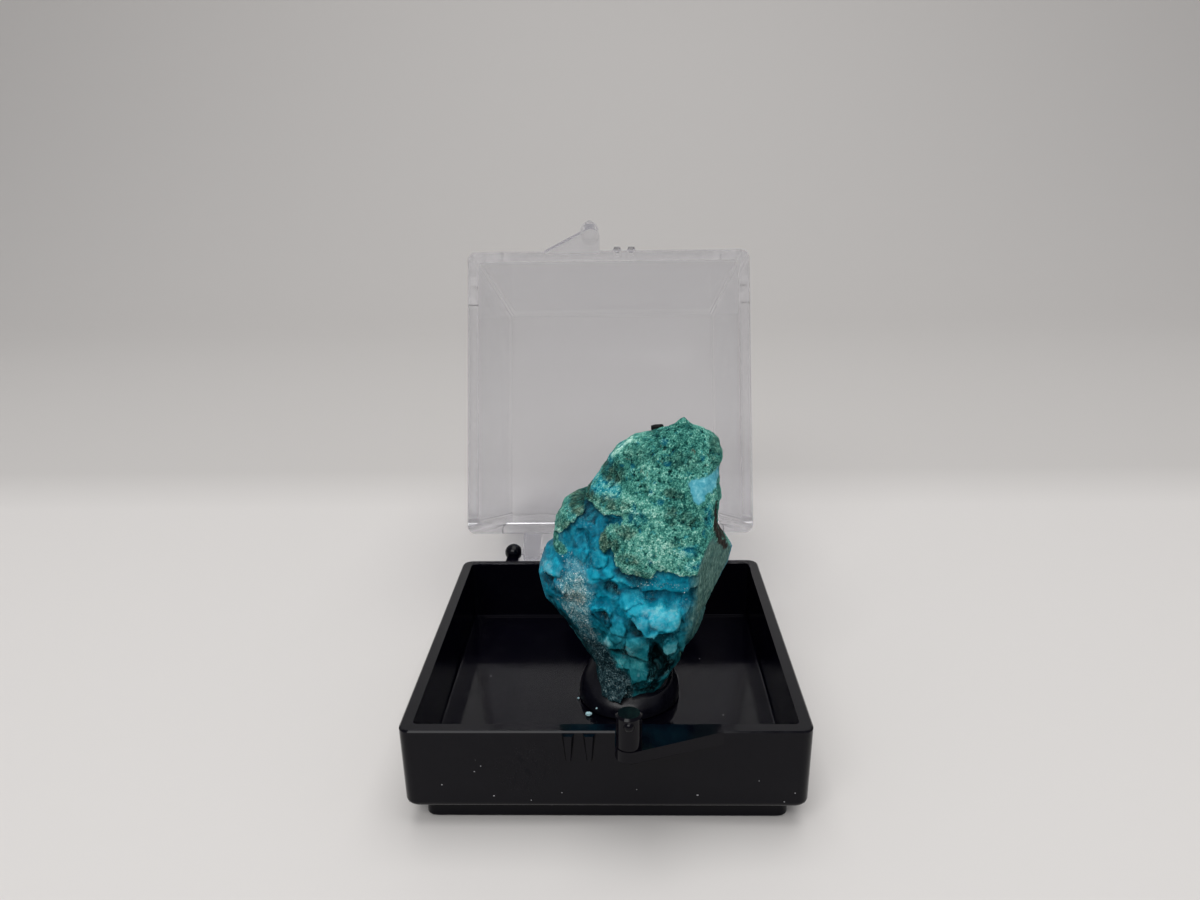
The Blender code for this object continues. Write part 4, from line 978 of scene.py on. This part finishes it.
def chrysocolla_material():
    r = Recipe("chrysocolla")
    fine = r.noise(0.11, 4.0, 0.70)
    middling = r.noise(0.7, 4.0, 0.6)
    broad = r.noise(3.2, 3.0)
    green, level = crust_colour(r, fine, broad)
    flank = flank_colour(r)
    sky = r.ramp(r.noise(0.45, 4.0, 0.62, distortion=0.6), (0.32, 66, 160, 182),
                 (0.50, 100, 186, 202), (0.64, 132, 206, 218), (0.78, 186, 230, 234))
    dark = r.ramp(middling, (0.3, 14, 14, 13), (0.6, 56, 50, 44), (0.75, 120, 112, 100))
    rough_edge = r.span(r.add("crust", r.swing(fine, 0.35)), 0.3, 0.7)
    colour = blue_colour(r, middling, broad)
    for factor, over in ((rough_edge, green), ("flank", flank),
                         (r.times("broken", 0.85), r.mix(0.5, flank, green)),
                         ("druse", druse_colour(r)), ("sky", sky), ("strip", dark)):
        colour = r.mix(factor, colour, over)
    grit = r.bump(fine, 0.06, 0.7)
    r.set(Base_Color=colour, IOR=1.5, Specular_IOR_Level=0.12,
          Roughness=r.blend(r.maths("MAXIMUM", "crust", "flank"),
                            r.span(middling, 0.3, 0.7, 0.40, 0.60),
                            r.span(fine, 0.3, 0.7, 0.70, 0.9)),
          Normal=r.bump(r.times(level, "crust"), 0.09, 0.7, Normal=grit),
          Subsurface_Weight=0.05, Subsurface_Radius=(0.2, 1.0, 1.2), Subsurface_Scale=0.4 * MM)
    return r.material


def black_plastic_material():
    """Glossy black with a faint film, fine scuffs and one rubbed place on the front."""
    r = Recipe("black_plastic")
    haze = r.noise(9.0, 3.0)
    scuffs = r.span(r.noise(0.22, 5.0, 0.75, stretch=(1.0, 0.25, 1.0)), 0.60, 0.78, 0.0, 0.16)
    rubbed = r.times(r.near(RUBBED_PLACE, RUBBED_REACH),
                     r.span(r.noise(0.5, 4.0, 0.7, stretch=(1.0, 1.0, 0.5)), 0.46, 0.58))
    film = r.times(r.span(r.noise(2.2, 4.0, 0.7), 0.52, 0.72), 0.3)
    r.set(Base_Color=r.mix(r.add(r.times(film, 0.07), r.times(scuffs, 0.10)),
                           (0.0010, 0.0008, 0.0028, 1.0), (0.055, 0.055, 0.062, 1.0)),
          Roughness=r.add(r.span(haze, 0.3, 0.7, 0.07, 0.12), scuffs, r.times(film, 0.2),
                          r.times(rubbed, 0.5)),
          Normal=r.bump(r.noise(1.6, 2.0), 0.010, 0.25), IOR=1.5, Specular_IOR_Level=0.17)
    return r.material


def clear_plastic_material():
    """Clear plastic; its low refraction keeps the walls soft."""
    r = Recipe("clear_plastic")
    r.set(Base_Color=(0.84, 0.842, 0.872, 1.0), Transmission_Weight=1.0, IOR=1.12,
          Roughness=r.span(r.noise(6.0, 3.0), 0.3, 0.7, 0.05, 0.10),
          Normal=r.bump(r.noise(7.0, 2.0), 0.02, 0.15))
    return r.material


def putty_material():
    r = Recipe("black_putty")
    fingers = r.noise(0.9, 3.0)
    r.set(Base_Color=r.ramp(fingers, (0.3, (0.0025, 0.0025, 0.005, 1.0)),
                            (0.7, (0.005, 0.005, 0.009, 1.0))),
          Roughness=r.span(fingers, 0.3, 0.7, 0.24, 0.38),
          Normal=r.bump(r.noise(0.35, 4.0), 0.03, 0.4), IOR=1.5, Specular_IOR_Level=0.22)
    return r.material


def grain_material():
    """Clear to milky quartz, darker near the foot as painted shade."""
    r = Recipe("quartz_grains")
    height = r.node("ShaderNodeSeparateXYZ", {"Vector": r.place}).outputs["Z"]
    kind = r.noise(0.3, 2.0)
    light = r.ramp(kind, (0.40, 60, 128, 144), (0.54, 138, 172, 176), (0.66, 232, 234, 228))
    # Painted shade: the grains darken towards the foot.
    low = r.ramp(kind, (0.42, 14, 36, 42), (0.56, 52, 74, 78), (0.70, 168, 176, 172))
    r.set(Base_Color=r.mix(r.span(height, 13.0 * MM, 8.0 * MM), light, low), Roughness=0.35,
          Specular_IOR_Level=0.5)
    return r.material


def plain_material(name, base, roughness, specular=0.3):
    """One colour all over."""
    r = Recipe(name)
    r.set(Base_Color=base, Roughness=roughness, Specular_IOR_Level=specular)
    return r.material


# ---- pieces ----
def add_object(name, data, material=None):
    obj = bpy.data.objects.new(name, data)
    SCENE.collection.objects.link(obj)
    if material:
        data.materials.clear()
        data.materials.append(material)
    return obj


def dress_node(name, piece_name, body, material, eased_by=None):
    """A merged copy of a moulded node, evenly shaded, in the node's place."""
    bm = bmesh.new()
    bm.from_mesh(NODES[name].data)
    bmesh.ops.remove_doubles(bm, verts=bm.verts, dist=MERGE_DISTANCE)
    bmesh.ops.dissolve_limit(bm, angle_limit=FLAT_ANGLE, verts=bm.verts, edges=bm.edges)
    mesh = bm_mesh(piece_name, bm)
    if "custom_normal" in mesh.attributes:
        mesh.attributes.remove(mesh.attributes["custom_normal"])
    obj = add_object(piece_name, mesh, material)
    mesh.shade_smooth()
    mesh.set_sharp_from_angle(angle=SHARP_ANGLE)
    if eased_by:
        eased = obj.modifiers.new("eased edges", "BEVEL")
        eased.width = eased_by * MM
        eased.segments = 2
        eased.limit_method = "ANGLE"
        eased.angle_limit = SHARP_ANGLE
        eased.harden_normals = True
    weighted = obj.modifiers.new("even shading", "WEIGHTED_NORMAL")
    weighted.keep_sharp = True
    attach(obj, body)
    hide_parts(name)


def build_putty():
    """The bun of the solid, finer, pressed into a shallow dish on the right of the stone."""
    centre = (PUTTY_LOW + PUTTY_HIGH) / 2
    half = (PUTTY_HIGH - PUTTY_LOW) / 2
    angle = np.linspace(0, 2 * math.pi, PUTTY_TURNS, endpoint=False)
    rows = []
    for step in range(PUTTY_STEPS):
        rise = math.sin(step / PUTTY_STEPS * math.pi / 2)
        size = (1 - rise ** PUTTY_ROUNDNESS) ** (1 / PUTTY_ROUNDNESS)
        back = half.y * size * np.sin(angle)
        height = PUTTY_HEIGHT * rise * (1 + PUTTY_SLOPE * back)
        rows.append(np.column_stack((centre.x + half.x * size * np.cos(angle),
                                     centre.y + back, PUTTY_LOW.z + height)))
    points = np.vstack(rows)
    off = points[:, :2] - np.array(centre.xy)
    radius = np.hypot(off[:, 0], off[:, 1])
    bearing = np.degrees(np.arctan2(off[:, 1], off[:, 0]))
    dish = ease((DISH_RADIUS - radius) / DISH_EDGE)
    dish *= ease((bearing - DISH_BEARINGS[0]) / DISH_TURN)
    dish *= ease((DISH_BEARINGS[1] - bearing) / DISH_TURN)
    points[:, 2] -= DISH_DEPTH * dish * ease(points[:, 2] - PUTTY_LOW.z - DISH_HEIGHT)
    points += DENT_DEPTH * np.column_stack(
        [noise_at(points, DENT_SIZE, seed) for seed in (1.0, 2.0, 3.0)])
    return skin_mesh("putty", points, PUTTY_TURNS)


def grown_grains(name, host, attribute, per_area, seed, material):
    """Small six-sided crystals strewn over a skin, as thick as its attribute says."""
    tree = bpy.data.node_groups.new(name, "GeometryNodeTree")

    def socket(label, way, kind):
        return tree.interface.new_socket(name=label, in_out=way,
                                         socket_type="NodeSocket" + kind).identifier

    def node(kind, inputs=None, output=0, **settings):
        return add_node(tree, kind, inputs, **settings).outputs[output]

    socket("Skin", "INPUT", "Geometry")
    values = {socket("Grains per area", "INPUT", "Float"): per_area / MM ** 2,
              socket("Smallest", "INPUT", "Float"): GRAIN_SMALLEST * MM,
              socket("Largest", "INPUT", "Float"): GRAIN_LARGEST * MM}
    socket("Grains", "OUTPUT", "Geometry")
    given = add_node(tree, "NodeGroupInput").outputs
    thick = node("GeometryNodeInputNamedAttribute", {"Name": attribute}, data_type="FLOAT")
    density = node("ShaderNodeMath", {0: given["Grains per area"], 1: thick},
                   operation="MULTIPLY")
    strewn = add_node(tree, "GeometryNodeDistributePointsOnFaces", {
        "Mesh": given["Skin"], "Density": density, "Seed": seed}).outputs
    crystal = node("GeometryNodeMeshCone", GRAIN_FORM)
    sunk = node("GeometryNodeTransform", {"Geometry": crystal,
                                          "Translation": (0.0, 0.0, -GRAIN_SINK)})
    tilt = node("FunctionNodeRandomValue", {0: tuple(-turn for turn in GRAIN_TURN), 1: GRAIN_TURN,
                                            "Seed": seed + 1}, data_type="FLOAT_VECTOR")
    turned = node("FunctionNodeRotateRotation", {"Rotation": strewn["Rotation"],
                                                 "Rotate By": tilt}, rotation_space="LOCAL")
    size = node("FunctionNodeRandomValue", {2: given["Smallest"], 3: given["Largest"],
                                            "Seed": seed + 2}, 1, data_type="FLOAT")
    placed = node("GeometryNodeInstanceOnPoints", {
        "Points": strewn["Points"], "Instance": sunk, "Rotation": turned, "Scale": size})
    real = node("GeometryNodeRealizeInstances", {"Geometry": placed})
    dressed = node("GeometryNodeSetMaterial", {"Geometry": real, "Material": material})
    add_node(tree, "NodeGroupOutput", {"Grains": dressed})

    # The grains grow on an object that shares the skin and goes once they are made.
    carrier = add_object(name + "_carrier", host.data)
    grown = carrier.modifiers.new("grains", "NODES")
    grown.node_group = tree
    for identifier, value in values.items():
        grown[identifier] = value
    evaluated = carrier.evaluated_get(bpy.context.evaluated_depsgraph_get())
    mesh = bpy.data.meshes.new_from_object(evaluated)
    carrier.modifiers.clear()
    bpy.data.objects.remove(carrier)
    return add_object(name, mesh, material)


def chip_mesh(name, chips, seed):
    """Small irregular chips in one mesh: x, y, z and sizes across, deep and up for each."""
    bm = bmesh.new()
    for index, (x, y, z, *sizes) in enumerate(chips):
        turn = Matrix.Rotation(index * FAR_TURN + seed, 3, "Z")
        made = bmesh.ops.create_icosphere(bm, subdivisions=2, radius=0.5)
        for vert in made["verts"]:
            facing = vert.co.normalized()
            blunt = max(abs(value) for value in turn @ facing)
            vert.co *= 0.75 / blunt + 0.25 * noise.noise(
                facing * 2.0 + Vector((index, seed, 0.0)))
            vert.co = Vector(c * size for c, size in zip(vert.co, sizes))
            vert.co = (vert.co + Vector((x, y, z))) * MM
    return bm_mesh(name, bm)


def front_face_y(z):
    """Where the tray's front stands at a height."""
    tray = NODES["tray"].data
    tree = BVHTree.FromPolygons([v.co for v in tray.vertices], [p.vertices for p in tray.polygons])
    ahead = Vector((-8.0, -100.0, z)) * MM
    return tree.ray_cast(ahead, Vector((0.0, 1.0, 0.0)))[0].y / MM


def build_small_things(stone):
    """Crystal grains on the stone, a dark chip behind its crest, loose crumbs and dust."""
    grains = grown_grains("quartz_grains", stone, "sown", GRAINS_PER_AREA, 4, grain_material())
    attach(grains, "box")
    chip, crumbs = ([(x, y, FLOOR_Z + up, *sizes) for x, y, up, *sizes in rows]
                    for rows in (CHIP, CRUMBS))
    face = front_face_y(DUST_HEIGHT)
    specks = [(x, face, z, size, DUST_THICKNESS, size * 0.8) for x, z, size in DUST_ON_FRONT]
    specks += [(x, y, FLOOR_Z + up, size, size, DUST_THICKNESS) for x, y, up, size in DUST_INSIDE]
    for name, chips, seed, material in (
            ("dark_chip", chip, 0.4, plain_material("dark_mineral", srgb(14, 13, 14), 0.7, 0.2)),
            ("loose_crumbs", crumbs, 1.0, plain_material("pale_crumb", srgb(178, 214, 220), 0.6)),
            ("dust", specks, 2.0, plain_material("dust", srgb(150, 150, 152), 0.9, 0.1))):
        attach(add_object(name, chip_mesh(name, chips, seed), material), "box")


def place_camera():
    """The camera looks along +Y, turned by yaw, pitch and roll."""
    pitch, yaw, roll = (math.radians(a) for a in (CAMERA_PITCH, CAMERA_YAW, CAMERA_ROLL))
    forward = Vector((math.sin(yaw) * math.cos(pitch), math.cos(yaw) * math.cos(pitch),
                      -math.sin(pitch)))
    right = Vector((math.cos(yaw), -math.sin(yaw), 0))
    up = right.cross(forward)
    across = math.cos(roll) * right + math.sin(roll) * up
    upright = -math.sin(roll) * right + math.cos(roll) * up
    camera = bpy.data.cameras.new("camera")
    camera.sensor_width = SENSOR_WIDTH
    camera.lens = LENS
    camera.clip_start = CLIP_START * MM
    obj = add_object("camera", camera)
    obj.matrix_world = Matrix((across, upright, -forward)).transposed().to_4x4()
    obj.location = Vector(CAMERA_PLACE) * MM
    SCENE.camera = obj


def build_stage():
    """Pale table that sweeps up behind into a light grey wall, paler high up."""
    profile = [(-FLOOR_REACH, 0.0), (WALL_FOOT, 0.0)]
    for step in range(SWEEP_STEPS + 1):
        angle = step / SWEEP_STEPS * math.pi / 2
        profile.append((SWEEP_START + SWEEP_RADIUS * math.sin(angle),
                        SWEEP_RADIUS * (1 - math.cos(angle))))
    profile.append((SWEEP_START + SWEEP_RADIUS, WALL_TOP))
    count = len(profile)
    mesh = bpy.data.meshes.new("floor")
    mesh.from_pydata([(x, y, z) for x in (-FLOOR_REACH, FLOOR_REACH) for y, z in profile], [],
                     [(i, count + i, count + i + 1, i + 1) for i in range(count - 1)])
    mesh.shade_smooth()
    r = Recipe("pale_floor")
    spot = r.node("ShaderNodeSeparateXYZ", {"Vector": r.place}).outputs
    lower = r.ramp(r.span(spot["Y"], *WALL_BEGINS), (0.0, FLOOR_COLOUR), (1.0, WALL_COLOUR))
    r.set(Base_Color=r.mix(r.span(spot["Z"], *PALER_BEGINS), lower, PALER_COLOUR), Roughness=0.6)
    add_object("floor", mesh, r.material)


def light_scene():
    """An even room, a broad light overhead and a softer one from the front left."""
    world = bpy.data.worlds.new("soft_room")
    SCENE.world = world
    world.use_nodes = True
    background = world.node_tree.nodes["Background"]
    background.inputs["Color"].default_value = ROOM_COLOUR
    background.inputs["Strength"].default_value = ROOM_STRENGTH
    for name, place, target, size, power in LIGHTS:
        lamp = bpy.data.lights.new(name, "AREA")
        lamp.shape = "RECTANGLE"
        lamp.size, lamp.size_y = size
        lamp.energy = power
        obj = add_object(name, lamp)
        obj.location = place
        facing = Vector(target) - Vector(place)
        obj.rotation_euler = facing.to_track_quat("-Z", "Y").to_euler()
    SCENE.view_settings.view_transform = "Standard"
    SCENE.view_settings.look = "None"
    SCENE.cycles.glossy_bounces = CLEAR_BOUNCES


def main():
    place_camera()
    stone = add_object("stone", build_stone(), chrysocolla_material())
    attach(stone, "box")
    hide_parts("specimen")
    putty = add_object("putty_bun", build_putty(), putty_material())
    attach(putty, "box")
    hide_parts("putty")
    dress_node("tray", "tray_moulding", "box", black_plastic_material(),
               TRAY_EDGE)
    dress_node("lid", "lid_moulding", "lid", clear_plastic_material())
    build_small_things(stone)
    build_stage()
    light_scene()


main()
